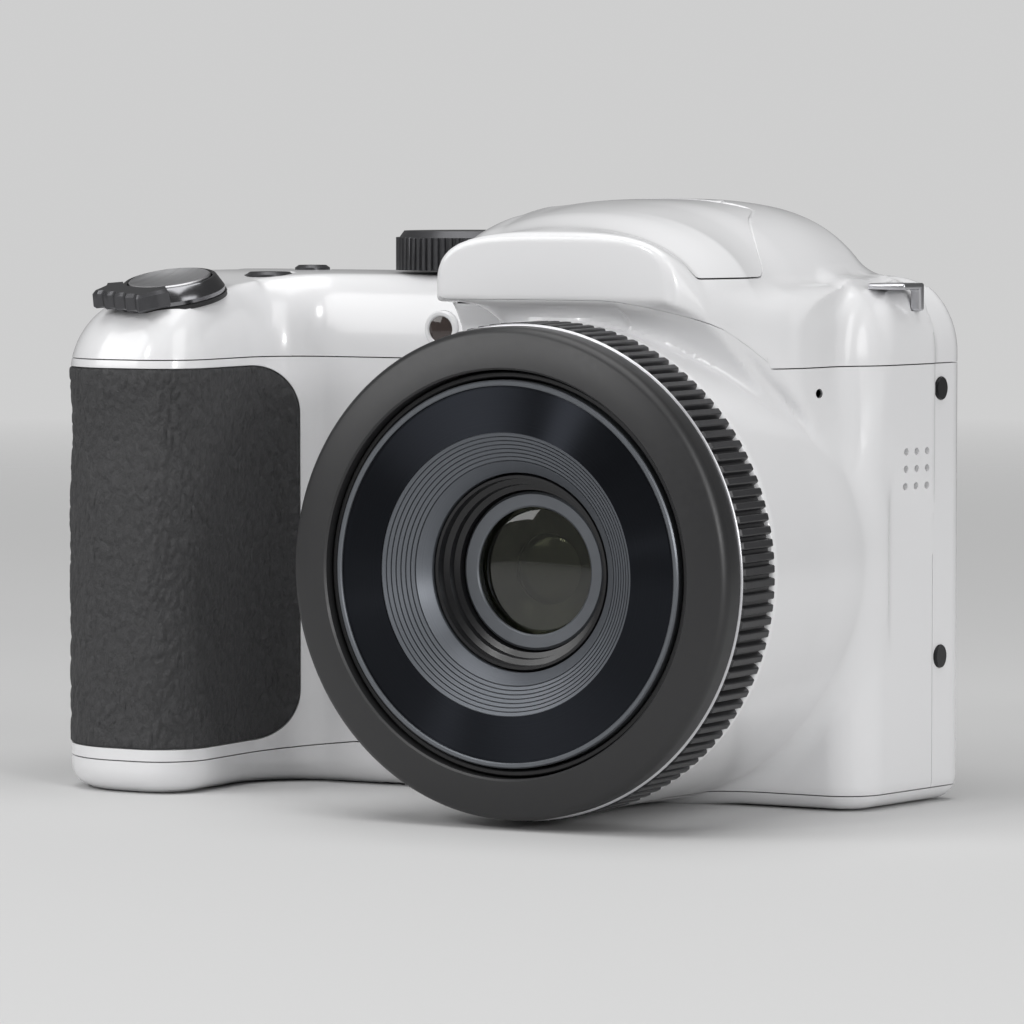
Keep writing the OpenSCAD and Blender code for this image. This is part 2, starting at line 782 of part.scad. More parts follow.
// One rib of the knurl as [angle, radius] pairs over one pitch
module knurl_ring() color("dimgray") {
    pitch = 360 / knurl_count;
    root = knurl_r - knurl_depth;
    shape = [for (k = [0:knurl_count - 1]) each [
        [root, pitch * k], [root, pitch * (k + 0.22)], [knurl_r, pitch * (k + 0.42)],
        [knurl_r, pitch * (k + 0.8)]]];
    translate([lens_x, -knurl_front, lens_z]) rotate([-90, 0, 0]) difference() {
        linear_extrude(knurl_l) polygon([for (p = shape) p[0] * [cos(p[1]), sin(p[1])]]);
        translate([0, 0, -1]) cylinder(r = base_r + 0.02, h = knurl_l + 2, $fn = 96);
    }
}

// The fixed base: a guide tube with two flanges, and a narrower housing behind it
module lens_base() color([0.12, 0.12, 0.13]) lens_turn([
    [base_bore_r, knurl_front], [base_r, knurl_front], [base_r, knurl_front - 2],
    [base_bore_r + base_wall, knurl_front - 3.5], [base_bore_r + base_wall, knurl_back + 3],
    [base_r, knurl_back + 1.5], [base_r, knurl_back - 3], [base_bore_r + base_wall, knurl_back - 5],
    [base_bore_r + base_wall, base_back + 1.5], [base_r, base_back + 1.5], [base_r, base_back - 0.4],
    [housing_r + 1.5, base_back - 0.4], [housing_r, base_back - 4], [housing_r, sensor_front],
    [housing_r - 5, sensor_front], [housing_r - 5, base_back - 4], [housing_r - 3, base_back + 1.5],
    [base_bore_r, base_back + 1.5]
], 120);

module barrel(front, r) {
    lens_tube(front, front - barrel_l, r, r - barrel_wall);
}

module outer_barrel() color([0.1, 0.1, 0.11]) barrel(barrel_front, barrel_r);

module inner_barrel() color([0.45, 0.46, 0.48]) barrel(inner_front, inner_barrel_r);

plate_r = inner_barrel_r - barrel_wall - 0.02;
groove_bore_r = glass_r + glass_inset;
plate_bore_r = (plate_r + groove_bore_r) / 2 - 0.31;

// The spun disc behind the barrel's rim
module front_plate() color([0.16, 0.18, 0.22]) lens_turn([
    [plate_bore_r, inner_front + 0.1], [plate_r, inner_front - 0.35],
    [plate_r, inner_front - 2.2], [plate_bore_r, inner_front - 2.2]
], 120);

// The funnel with fine steps inside the disc
groove_steps = 6;
groove_depth = 3.8;
module grooved_ring() color([0.3, 0.33, 0.38]) {
    run = (plate_bore_r - groove_bore_r) / groove_steps;
    fall = groove_depth / groove_steps;
    front = inner_front - 0.1;
    lens_turn(concat(
        [for (k = [0:groove_steps - 1]) each [
            [plate_bore_r - 0.02 - run * k, front - fall * k],
            [plate_bore_r - 0.02 - run * (k + 0.8), front - fall * (k + 0.55)]]],
        [[groove_bore_r, front - groove_depth], [groove_bore_r, front - groove_depth - 1.4],
            [plate_bore_r - 0.02, front - 2.1]]
    ), 120);
}

// The cell that carries the front lens group, with a stepped black inside
cell_r_out = groove_bore_r - 0.02;
module lens_cell() color([0.06, 0.06, 0.07]) lens_turn([
    [cell_r_out, inner_front - groove_depth - 1.4], [cell_r_out - 0.7, inner_front - 4.5],
    [cell_r_out - 1.1, inner_front - 4.6], [cell_r_out - 1.2, inner_front - 5.4],
    [cell_r_out - 1.7, inner_front - 5.6], [cell_r_out - 1.8, inner_front - 6.6],
    [cell_r_out - 2.4, inner_front - 6.8], [cell_r_out - 2.4, inner_front - 14],
    [plate_r, inner_front - 14], [plate_r, inner_front - 12.5], [cell_r_out, inner_front - 11.5]
], 120);

ring_step_r = groove_bore_r - 2.5;
module retaining_ring() color([0.3, 0.32, 0.35]) lens_turn([
    [glass_r, inner_front - 8.2], [glass_r, inner_front - 7.9], [glass_r + 0.2, inner_front - 7.75],
    [ring_step_r - 0.2, inner_front - 7.75], [ring_step_r, inner_front - 8],
    [ring_step_r, inner_front - 9.6], [glass_r + 0.7, inner_front - 9.6],
    [glass_r + 0.7, inner_front - 8.2]
], 120);

lens_edge_r = glass_r + 0.68;
module front_lens() color([0.2, 0.3, 0.3, 0.5]) lens_turn(concat(
    [for (a = [0:10:90]) [lens_edge_r * sin(a), inner_front - 9.4 + 1.2 * cos(a)]],
    [[lens_edge_r, inner_front - 11.5], [0, inner_front - 11.5]]
), 96);

module rear_lens() color([0.2, 0.3, 0.3, 0.5]) lens_turn(concat(
    [for (a = [0:15:90]) [(housing_r - 5.02) * sin(a), 6 + 1.6 * cos(a)]],
    [[housing_r - 5.02, 3.2], [0, 4.2]]
), 64);

// The sensor on its metal plate, behind the housing
module image_sensor() color("darkgreen") {
    front_plate_at(-sensor_front, -sensor_front + 1) translate([lens_x, lens_z])
        square([24, 22], center = true);
    front_plate_at(-sensor_front - 0.8, -sensor_front + 0.1) translate([lens_x, lens_z])
        square([10, 8], center = true);
}

// Motor can and its gearbox beside the base tube
motor_r = 3.4;
motor_l = body_front - wall - 0.8;
motor_pos = [front_right_x - 6.4, 6.6];
module zoom_motor() color([0.5, 0.5, 0.52]) {
    translate([motor_pos.x, -motor_l, motor_pos.y]) rotate([-90, 0, 0])
        cylinder(r = motor_r, h = motor_l, $fn = 40);
    front_plate_at(0, frame_y - 0.02) translate(motor_pos) rounded(8.4, 7.6, 1);
}

// The metal frame inside the covers, and the board behind it
frame_left = box_right + 0.45;
frame_right = half_w - wall - 1;
frame_step_x = frame_right - 7.9;
frame_top = deck_z - wall - 0.8;
frame_low = 3;
bush_notch = bush_r + 2.2;
frame_holes = [
    [frame_left + 12.3, 12], [frame_left + 12.3, top_seam_z - 7.3],
    [frame_step_x, top_seam_z - 5.3], [12, 8.5], [frame_right - 20.9, top_seam_z - 4.3]
];
module main_frame() color("silver") difference() {
    front_plate_at(frame_y, frame_y + frame_t) polygon([
        [frame_left, frame_low], [-bush_notch, frame_low], [-bush_notch, 9], [bush_notch, 9],
        [bush_notch, frame_low], [frame_right, frame_low], [frame_right, top_seam_z],
        [frame_step_x, top_seam_z], [frame_step_x, frame_top], [frame_left + 19.3, frame_top],
        [frame_left + 19.3, frame_top - 1.2], [frame_left, frame_top - 1.2]
    ]);
    for (p = frame_holes) translate([p.x, 0, p.y]) rotate([-90, 0, 0])
        cylinder(r = 1.5, h = 20, $fn = 24);
    translate([dial_pos.x, 0, deck_z]) rotate([-90, 0, 0]) cylinder(r = 6, h = 20, $fn = 32);
}

board_low = [frame_left + 7.3, 9.5];
board_high = [frame_right - 2.4, top_seam_z - 1.3];
board_posts = [
    [board_low.x + 3, 30], [board_high.x - 3.5, board_low.y + 2.5],
    [board_high.x - 3.5, board_high.y - 10]
];
module main_board() color("darkgreen") {
    front_plate_at(board_y, board_y + board_t) difference() {
        translate(board_low) square(board_high - board_low);
        for (p = frame_holes) translate(p) circle(r = 1, $fn = 24);
    }
    front_plate_at(board_y - 0.8, board_y + eps) translate(board_low + [7, 10.5]) square([14, 14]);
    front_plate_at(board_y + board_t - eps, board_y + board_t + 0.9)
        translate(board_low + [29, 2.5]) square([22, 8]);
    for (p = board_posts) translate([p.x, frame_y + frame_t, p.y])
        rotate([-90, 0, 0]) cylinder(r = 1.6, h = board_y - frame_y - frame_t + eps, $fn = 24);
}

// Pop-up flash

module lid_zone(grow) {
    side_plate(-big / 2, big / 2) offset(delta = grow) polygon(lid_side);
}

module pin_bore(r, half) {
    translate([lens_x - half, hinge_y, hinge_z]) rotate([0, 90, 0])
        cylinder(r = r, h = 2 * half, $fn = 32);
}

module flash_lid() color("white") difference() {
    union() {
        intersection() {
            difference() {
                hump(0);
                hump(lid_skin);
            }
            lid_zone(0);
        }
        pin_bore(hinge_knuckle_r, hinge_half);
        side_plate(lens_x - hinge_half, lens_x + hinge_half) polygon([
            [hinge_y - 3, hinge_z - 0.9], [hinge_y, hinge_z - 0.9], [hinge_y, hinge_z + 0.7],
            [hinge_y - 3, hinge_z + 0.6]
        ]);
        for (x = [-8, 8]) translate([lens_x + x - 1, head_y + 6, head_top]) cube([2, 8, 4.6]);
    }
    pin_bore(hinge_pin_r + 0.05, hinge_half + 1);
    translate([-big / 2, hinge_y - 2.4, hump_z - 0.4]) rotate([-38, 0, 0]) cube([big, 4, 6]);
}

module flash_head() color([0.1, 0.1, 0.11]) difference() {
    side_plate(lens_x - head_half, lens_x + head_half) polygon(head_side);
    side_plate(lens_x - head_half + 1, lens_x + head_half - 1) polygon([
        [head_y + 0.4, head_top - 1.6], [head_y + 4.1, head_low + 0.2],
        [head_y + 4, head_low - 4], [head_y - 3, head_top - 1.6]
    ]);
    side_plate(lens_x - head_half + 2, lens_x + head_half - 2) polygon([
        [head_y + 0.6, head_top - 1.7], [head_y + 6.4, head_top - 0.8],
        [head_y + 7.6, head_top - 2.6], [head_y + 3.9, head_low + 0.3]
    ]);
}

// The clear window faces down and forward while the lid is shut
module flash_window() color([0.9, 0.9, 0.9, 0.5])
    side_plate(lens_x - head_half + 1.05, lens_x + head_half - 1.05) polygon([
        [head_y + 0.42, head_top - 1.66], [head_y + 4.08, head_low + 0.24],
        [head_y + 3.7, head_low - 0.1], [head_y, head_top - 1.9]
    ]);

module flash_tube() color([0.85, 0.85, 0.9])
    translate([lens_x - head_half + 2, head_y + 4.8, head_top - 2.1]) rotate([0, 90, 0])
        cylinder(r = tube_r, h = 2 * head_half - 4, $fn = 24);

// A black tray closes the well under the flash
module flash_tray() color([0.1, 0.1, 0.11]) difference() {
    side_plate(lens_x - tray_half, lens_x + tray_half) polygon([
        [tray_front, tray_floor_z], [tray_back, tray_floor_z], [tray_back, tray_floor_z + 3],
        [tray_front, tray_floor_z + 2.2]
    ]);
    side_plate(lens_x - tray_half + 0.9, lens_x + tray_half - 0.9) polygon([
        [tray_front - 1, tray_floor_z + 0.9], [tray_back - 0.9, tray_floor_z + 0.9],
        [tray_back - 0.9, tray_floor_z + 5], [tray_front - 1, tray_floor_z + 5]
    ]);
}

module flash_hinge_pin() color("silver") pin_bore(hinge_pin_r, hinge_half + 4.2);

capacitor_r = 4;
module flash_capacitor() color([0.15, 0.15, 0.2])
    translate([box_right + capacitor_r + 4.25, -body_front + wall + 0.8 + capacitor_r, 14])
        cylinder(r = capacitor_r, h = 30, $fn = 40);

// Top controls

module mode_dial() color([0.2, 0.2, 0.21]) difference() {
    translate([dial_pos.x, dial_pos.y, dial_z]) {
        linear_extrude(dial_h - 0.9) polygon([for (k = [0:dial_ribs - 1]) each [
            for (q = [[0, -0.35], [0.3, -0.35], [0.45, 0], [0.85, 0]])
                let (a = 360 * (k + q[0]) / dial_ribs) (dial_r + q[1]) * [cos(a), sin(a)]]]);
        translate([0, 0, dial_h - 0.9 - eps])
            cylinder(r1 = dial_r - 0.45, r2 = dial_r - 1.1, h = 0.9, $fn = 72);
    }
    translate([dial_pos.x, dial_pos.y, dial_z - 1])
        cylinder(r = spindle_r + spindle_clear, h = dial_h, $fn = 32);
}

module dial_spindle() color("silver")
    translate([dial_pos.x, dial_pos.y, deck_z - 5]) cylinder(r = spindle_r, h = dial_h + 3.6, $fn = 32);

module shutter_button() color([0.3, 0.3, 0.32]) at_shutter() difference() {
    union() {
        translate([0, 0, 1.4]) cylinder(r = shutter_r, h = 2, $fn = 64);
        translate([0, 0, -3.5]) cylinder(r = 2.4, h = 5, $fn = 32);
    }
    translate([0, 0, 27.6]) sphere(r = 25, $fn = 96);
}

// The ring round the shutter button, and its thumb tab with ridges
module zoom_lever() color([0.22, 0.22, 0.23]) at_shutter() {
    rotate_extrude($fn = 96) polygon([
        [shutter_r + button_gap, 0.2], [lever_r, 0.2], [lever_r, 0.8],
        [lever_r - 1, lever_h], [shutter_r + button_gap, lever_h]
    ]);
    rotate([0, 0, -105]) difference() {
        translate([lever_r - 1.1, -tab_half, 0.5]) cube([tab_reach - lever_r + 0.6, 2 * tab_half, 2.7]);
        translate([0, 0, -1]) cylinder(r = lever_r - 1.1, h = 8, $fn = 64);
        for (k = [-2:1]) translate([tab_reach - 0.3, (k + 0.5) * 1.75, -1])
            cylinder(r = 0.4, h = 8, $fn = 16);
    }
}

module shutter_seat() color([0.05, 0.05, 0.05]) at_shutter() difference() {
    translate([0, 0, -0.4]) cylinder(r = lever_r + 0.2, h = 0.5, $fn = 64);
    translate([0, 0, -1]) cylinder(r = 2.8, h = 3, $fn = 32);
}

// A domed cap with a stem and a wider flange below the cover
module top_button(pos, z, r) {
    translate([pos.x, pos.y, z]) {
        translate([0, 0, -wall - 1.2]) cylinder(r = r, h = wall + 1.2 + button_rise * 0.5, $fn = 48);
        translate([0, 0, button_rise * 0.5])
            cylinder(r1 = r, r2 = r - 0.9, h = button_rise * 0.5, $fn = 48);
        translate([0, 0, -wall - 1.2 - flange_t]) cylinder(r = r + flange_out, h = flange_t, $fn = 48);
    }
}

module power_button() color([0.2, 0.2, 0.21])
    top_button(power_pos, deck_z - grip_fall * (grip_fall_y - power_pos.y), power_r);

module burst_button() color([0.2, 0.2, 0.21]) top_button(burst_pos, deck_z, burst_r);

// Power

module door_outline(grow) {
    inner_x = door_hinge_x + (grow > 0 ? door_barrel_r + grow : 0);
    intersection() {
        offset(delta = grow) polygon(outline(door_inset, 0.05, 0.1, 0, 0.3, 2));
        translate([-big, -big / 2]) square([big + inner_x, big]);
    }
}

module door_barrel(r, half) {
    translate([door_hinge_x, half, door_hinge_z]) rotate([90, 0, 0])
        cylinder(r = r, h = 2 * half, $fn = 32);
}

module battery_door() color("whitesmoke") difference() {
    union() {
        linear_extrude(door_t) door_outline(0);
        door_barrel(door_barrel_r, door_half);
    }
    door_barrel(door_pin_r + 0.05, door_half + 1);
    translate([latch_pos.x - latch_size.x / 2 - 0.2, latch_pos.y - latch_size.y / 2 - 0.2, -1])
        cube([latch_size.x + latch_travel + 0.4, latch_size.y + 0.4, 1 + latch_t + 0.1]);
}

module door_hinge_pin() color("silver") door_barrel(door_pin_r, door_half + 0.8);

module door_latch() color([0.2, 0.2, 0.21]) difference() {
    translate([latch_pos.x - latch_size.x / 2, latch_pos.y - latch_size.y / 2, 0.05])
        cube([latch_size.x, latch_size.y, latch_t]);
    for (k = [-1:1]) translate([latch_pos.x + k * 1.5 - 0.3, latch_pos.y - 3, 0])
        cube([0.6, 6, 0.35]);
}

// The walls between the cells and the rest, and the plate above the cells
module battery_box() color([0.12, 0.12, 0.13]) {
    x1 = cell_x + cell_r + 0.15;
    x2 = box_right - box_wall;
    y1 = cell_back - cell_r - 0.15;
    y2 = cell_back + cell_r + 0.1;
    top = cell_z + cell_l + 0.5;
    y0 = cell_y - cell_r + 4;
    translate([x1, y0, cell_z]) cube([box_wall, y1 - y0, top - cell_z]);
    translate([x1, y1 - box_wall, cell_z]) cube([x2 - x1 + box_wall, box_wall, top - cell_z]);
    translate([x2, y1, cell_z]) cube([box_wall, y2 - y1, top - cell_z]);
    translate([cell_x - 5, cell_y - 3, top]) cube([x1 - cell_x + 5 + box_wall, y2 - cell_y + 3, 0.8]);
    translate([x1, y1 - box_wall, top]) cube([x2 - x1 + box_wall, y2 - y1 + box_wall, 0.8]);
}

module battery_cells() color("gray") for (p = cells) translate([p.x, p.y, cell_z]) {
    cylinder(r = cell_r, h = cell_l - 1.2, $fn = 48);
    cylinder(r = cell_r * 0.38, h = cell_l, $fn = 24);
}

module battery_contacts() color("gold") for (p = cells)
    translate([p.x, p.y, cell_z + cell_l]) cylinder(r = 3.6, h = 0.5, $fn = 32);

// Display and controls on the back

module display_panel() color([0.05, 0.05, 0.06])
    front_plate_at(panel_back - panel_t, panel_back - eps) translate(window_pos)
        rounded(view_w - 0.2, view_h - 0.2, 0.8);

module display_window() color([0.08, 0.08, 0.1, 0.6])
    front_plate_at(body_rear - 0.3, body_rear - 0.3 + window_t + 0.4) translate(window_pos)
        rounded(window_w, window_h, 2);

// A round button in the back, with a flange inside the wall
module back_button(pos, r, rise = 0.8) {
    translate([pos.x, body_rear, pos.y]) rotate([-90, 0, 0]) {
        translate([0, 0, -wall - 0.3]) cylinder(r = r, h = wall + 0.3 + rise - 0.3, $fn = 48);
        translate([0, 0, rise - 0.3]) cylinder(r1 = r, r2 = r - 0.4, h = 0.3, $fn = 48);
        translate([0, 0, -wall - 0.3 - flange_t]) cylinder(r = r + flange_out, h = flange_t, $fn = 48);
    }
}

module button_holes() {
    for (p = [[pad_pos, pad_r], [record_pos, record_r], [menu_pos, back_r], [play_pos, back_r],
            [info_pos, back_r], [delete_pos, back_r]])
        translate([p[0].x, body_rear - wall - 1, p[0].y]) rotate([-90, 0, 0])
            cylinder(r = p[1] + button_gap, h = wall + 4, $fn = 48);
}

module direction_pad() color([0.25, 0.25, 0.26]) difference() {
    back_button(pad_pos, pad_r, 0.9);
    translate([pad_pos.x, body_rear - 8, pad_pos.y]) rotate([-90, 0, 0])
        cylinder(r = ok_r + button_gap, h = 16, $fn = 48);
}

module ok_button() color([0.25, 0.25, 0.26])
    translate([pad_pos.x, body_rear - wall - 0.9, pad_pos.y]) rotate([-90, 0, 0])
        cylinder(r = ok_r, h = wall + 2, $fn = 48);

module record_button() color("firebrick") back_button(record_pos, record_r);

module menu_button() color([0.25, 0.25, 0.26]) back_button(menu_pos, back_r);

module play_button() color([0.25, 0.25, 0.26]) back_button(play_pos, back_r);

module info_button() color([0.25, 0.25, 0.26]) back_button(info_pos, back_r);

module delete_button() color([0.25, 0.25, 0.26]) back_button(delete_pos, back_r);

// Strap lugs: a flat strip bent into a bracket, on each shoulder
lug_x = half_w - 3.6;
module lug_strip(grow) {
    translate([lug_x - 1.5 - grow, lug_y[0] - grow, lug_z - grow])
        cube([lug_out + 1.5 + 2 * grow, lug_y[1] - lug_y[0] + 2 * grow, lug_t + 2 * grow]);
}

module lug_block() {
    for (side = [0, 1]) mirror([side, 0, 0])
        translate([lug_x - 5, lug_y[0] - 1, lug_z - 3]) cube([4.6, lug_y[1] - lug_y[0] + 2, 4.4]);
}

module lug_slots() {
    for (side = [0, 1]) mirror([side, 0, 0]) lug_strip(0.02);
}

module strap_lugs() color("silver") for (side = [0, 1]) mirror([side, 0, 0]) difference() {
    lug_strip(0);
    translate([lug_x + 0.6, lug_y[0] + 1.3, lug_z - 1])
        cube([lug_out - 1.9, lug_y[1] - lug_y[0] - 2.6, 4]);
}

// Lamp, sound and port

module focus_lamp() color("orange") translate([lamp_pos.x, -body_front, lamp_pos.y])
    rotate([90, 0, 0]) {
        translate([0, 0, -3]) cylinder(r = lamp_collar_r - 0.02, h = 3.1, $fn = 40);
        cylinder(r = lamp_r, h = 0.4, $fn = 40);
    }

module speaker() color([0.1, 0.1, 0.1])
    on_side(front_right_x - 3.5, speaker_pos.x, speaker_pos.y) cylinder(r = 3.6, h = 2, $fn = 40);

module microphone() color([0.1, 0.1, 0.1])
    at_mic() translate([0, 0, -1.2]) cylinder(r = 0.9, h = 1, $fn = 32);

module usb_port() color("silver")
    translate([-half_w + wall + 0.05, port_y - port_w / 2, port_z - port_h / 2]) difference() {
        cube([port_l, port_w, port_h]);
        translate([-1, 0.35, 0.35]) cube([port_l, port_w - 0.7, port_h - 0.7]);
    }

// A cylinder on the hinge of the flap, at its rear edge
module flap_turn(r, half) {
    translate([-half_w - rear_proud + flap_knuckle_r, port_y + flap_w / 2 - flap_knuckle_r,
            port_z - half])
        cylinder(r = r, h = 2 * half, $fn = 32);
}

module usb_flap() color([0.85, 0.85, 0.85]) {
    translate([-half_w - rear_proud, port_y - flap_w / 2, port_z - flap_h / 2])
        cube([flap_t, flap_w - flap_knuckle_r, flap_h]);
    flap_turn(flap_knuckle_r, flap_h / 2);
    flap_turn(flap_pin_r, flap_h / 2 + flap_pin_l);
}

// Fastening

module tripod_bush() color("silver") difference() {
    cylinder(r = bush_r, h = socket_depth + 1.5, $fn = 64);
    translate([0, 0, -1]) cylinder(r = socket_r, h = socket_depth + 1, $fn = 48);
}

module screw(l) {
    cylinder(r = screw_head_r, h = 0.8, $fn = 24);
    cylinder(r = 0.8, h = l, $fn = 20);
}

module cover_screws() color([0.15, 0.15, 0.16]) {
    for (z = side_screw_z) translate([half_w - 0.2, side_screw_y, z]) rotate([0, -90, 0])
        screw(side_screw_l);
    for (p = base_screws) translate([p.x, p.y, 0.1]) screw(4);
}

front_cover();
rear_cover();
top_cover();
bottom_cover();
grip_rubber();
thumb_rest();
lens_ring();
trim_ring();
knurl_ring();
lens_base();
outer_barrel();
inner_barrel();
front_plate();
grooved_ring();
lens_cell();
retaining_ring();
front_lens();
rear_lens();
image_sensor();
zoom_motor();
main_frame();
main_board();
flash_lid();
flash_head();
flash_window();
flash_tube();
flash_tray();
flash_hinge_pin();
flash_capacitor();
mode_dial();
dial_spindle();
shutter_button();
zoom_lever();
shutter_seat();
power_button();
burst_button();
battery_door();
door_hinge_pin();
door_latch();
battery_box();
battery_cells();
battery_contacts();
display_panel();
display_window();
direction_pad();
ok_button();
record_button();
menu_button();
play_button();
info_button();
delete_button();
strap_lugs();
focus_lamp();
speaker();
microphone();
usb_port();
usb_flap();
tripod_bush();
cover_screws();
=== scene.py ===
"""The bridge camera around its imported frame: covers, rubber, lens, controls, light and camera."""
import json
import math

import bpy
import bmesh
import numpy as np
from mathutils import Matrix, Vector, noise


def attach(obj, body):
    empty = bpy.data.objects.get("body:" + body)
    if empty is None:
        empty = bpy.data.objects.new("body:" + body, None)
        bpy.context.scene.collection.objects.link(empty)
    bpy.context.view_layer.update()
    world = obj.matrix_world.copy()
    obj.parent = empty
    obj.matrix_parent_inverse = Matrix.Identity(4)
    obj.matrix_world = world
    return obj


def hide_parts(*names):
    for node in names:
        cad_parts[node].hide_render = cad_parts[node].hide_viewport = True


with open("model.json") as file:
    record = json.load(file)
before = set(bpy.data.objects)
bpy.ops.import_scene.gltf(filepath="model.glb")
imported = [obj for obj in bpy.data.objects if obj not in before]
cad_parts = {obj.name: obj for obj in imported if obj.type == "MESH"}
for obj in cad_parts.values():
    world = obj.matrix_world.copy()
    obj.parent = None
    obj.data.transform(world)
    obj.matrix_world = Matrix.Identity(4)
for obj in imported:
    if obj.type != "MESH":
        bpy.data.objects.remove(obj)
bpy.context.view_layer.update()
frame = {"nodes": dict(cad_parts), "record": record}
MM = 0.001
NODES = frame["nodes"]
SCENE = bpy.context.scene

# Sizes repeated from the part, in millimetres
HALF_W = 56.5
DECK_Z = 68.6
BODY_FRONT = 12.0
BODY_REAR = 12.0
WALL = 1.6
SEAM = 0.15
TOP_SEAM_Z = 57.3
BASE_SEAM_Z = 4.2
LOW_SEAM_Z = 1.9
REAR_SEAM_Y = 4.0
GRIP_FRONT = 37.0
GRIP_X = -34.0
LENS_X = 22.0
LENS_Z = 32.0
RING_FRONT = 50.8
RING_R = 31.0
RING_BORE = 25.63
KNURL_FRONT = 45.9
KNURL_L = 8.6
KNURL_R = 31.4
KNURL_COUNT = 120
TRIM_FRONT = 46.3
NECK_FRONT = 37.2
NECK_BORE = 29.5
BASE_BORE = 25.65
BASE_R = 29.4
BARREL_FRONT = 49.4
BARREL_R = 25.35
BARREL_BORE = 24.65
INNER_FRONT = 50.2
INNER_R = 24.34
PLATE_R = 23.62
PLATE_BORE = 17.8
GROOVE_BORE = 12.6
CELL_R = 12.58
GLASS_R = 8.07
STEP_R = 10.1
HUMP_Z = 78.6
HOOD_FRONT = 38.2
LID_Z = 68.9
HINGE_Y = -6.6
HINGE_Z = 77.4
HINGE_HALF = 4.0
RUBBER_T = 1.0
RUBBER_PROUD = 0.2
RUBBER_R = 6.5
RUBBER_TURN = math.radians(30)
RUBBER_EDGE = (GRIP_X + 4.6, -BODY_FRONT - 2)
RUBBER_BACK_Y = REAR_SEAM_Y - 2.5
RUBBER_LOW = BASE_SEAM_Z + 1.7
RUBBER_HIGH = TOP_SEAM_Z - 1.2
SHUTTER_AT = (-42.0, -26.0, 65.5)
SHUTTER_TILT = math.radians(13)
SHUTTER_R = 5.5
LEVER_R = 7.2
LEVER_H = 2.4
TAB_REACH = 10.3
TAB_TURN = math.radians(-105)
DIAL_AT = (-11.5, 0.0)
POWER_AT = (-37.3, -8.5)
POWER_R = 3.2
BURST_AT = (-38.0, 4.0)
BURST_R = 2.4
BUTTON_GAP = 0.25
LAMP_AT = (-8.7, 61.2)
LAMP_R = 1.75
LAMP_COLLAR = 2.5
SPEAKER_AT = (-0.4, 43.8)
SPEAKER_PITCH = 2.24
SPEAKER_HOLE = 0.48
SIDE_SCREW_Y = REAR_SEAM_Y + 1.8
SIDE_SCREWS = (19.0, 54.0)
SCREW_R = 1.45
PILOT_R = 0.9
BASE_SCREWS = ((14, -5), (38, -4), (38, 7.4), (-12, -6))
BUSH_R = 5.02
MIC_AT = (47.3, -15.0, 54.0)
MIC_WAY = (0.707, -0.707, 0)
MIC_R = 0.6
LUG_PLATE = (50.6, 55.9, -5.2, 0.9, 67.0, 67.8)
LUG_LEG = (54.4, 55.9, -0.3, 0.9, 64.2, 67.8)
WINDOW_AT = (17.0, 30.5)
WINDOW_SIZE = (62, 43)
LEDGE_SIZE = (68.1, 48.1)
REST_SIZE = (15.1, 9.1)
BACK_BUTTONS = (((-36, 25), 9.5), ((-26, 49), 3.0), ((-26.5, 39), 2.6), ((-45.5, 39), 2.6),
                ((-26.5, 11), 2.6), ((-45.5, 11), 2.6))
THUMB_AT = (-45.5, 49.2)
FLAP_Y = 7.2
FLAP_Z = 28
WRINKLE_SCALE = 0.75
WRINKLE_DEPTH = 0.3
GRAIN_SEED = 7
FORM_FILLET = 3.0
HOOD_FILLET = 2.0
SHOULDER_FILLET = 1.2


# Fields: each is below zero inside, in millimetres

def round_and(a, b, r):
    """Where both hold, with the outer edge rounded."""
    return np.minimum(np.maximum(a, b), -r) + np.hypot(np.maximum(a + r, 0), np.maximum(b + r, 0))


def round_or(a, b, r):
    """Where either holds, with the inner edge filled."""
    return np.maximum(np.minimum(a, b), r) - np.hypot(np.maximum(r - a, 0), np.maximum(r - b, 0))


def oval_and(a, b, ra, rb):
    """As round_and, with a rounding that reaches ra along one side and rb along the other."""
    u, v = np.maximum(a / ra + 1, 0), np.maximum(b / rb + 1, 0)
    scale = (ra * u * u + rb * v * v + 1e-6) / (u * u + v * v + 1e-6)
    return (np.minimum(np.maximum(a / ra, b / rb), -1) + np.hypot(u, v)) * scale


def smooth_step(v, start, end):
    t = np.clip((v - start) / (end - start), 0, 1)
    return t * t * (3 - 2 * t)


def curve(at, xs, ys):
    """A smooth curve through points that never overshoots them."""
    xs, ys = np.asarray(xs, float), np.asarray(ys, float)
    h, d = np.diff(xs), np.diff(ys) / np.diff(xs)
    m = np.zeros(len(xs))
    m[1:-1] = np.where(d[:-1] * d[1:] > 0, 2 * d[:-1] * d[1:] / (d[:-1] + d[1:] + 1e-12), 0)
    m[0], m[-1] = d[0], d[-1]
    at = np.clip(at, xs[0], xs[-1])
    k = np.clip(np.searchsorted(xs, at) - 1, 0, len(h) - 1)
    t = (at - xs[k]) / h[k]
    return ((1 + 2 * t) * (1 - t) ** 2 * ys[k] + t * (1 - t) ** 2 * h[k] * m[k]
            + t * t * (3 - 2 * t) * ys[k + 1] + t * t * (t - 1) * h[k] * m[k + 1])


WAIST_Z = 47.5
WAIST_HALF = 10.0
WAIST_DEPTH = 0.75
CROWN_H = 10.0
CROWNS = {"side": 10.0, "front": 4.5, "grip": 8.0, "flank": 3.0}


def waist(z):
    return WAIST_DEPTH * (0.5 + 0.5 * np.cos(np.pi * np.clip((z - WAIST_Z) / WAIST_HALF, -1, 1)))


def walls(x, y, z):
    """Distances outside the body's sides."""
    left = -HALF_W - x
    right = ((x - 53.9) - 0.1677 * (y + 7)) * 0.986
    rear = y - BODY_REAR
    front = -BODY_FRONT - y
    grip_front = -GRIP_FRONT - y + waist(z)
    return left, right, rear, front, grip_front, x - GRIP_X


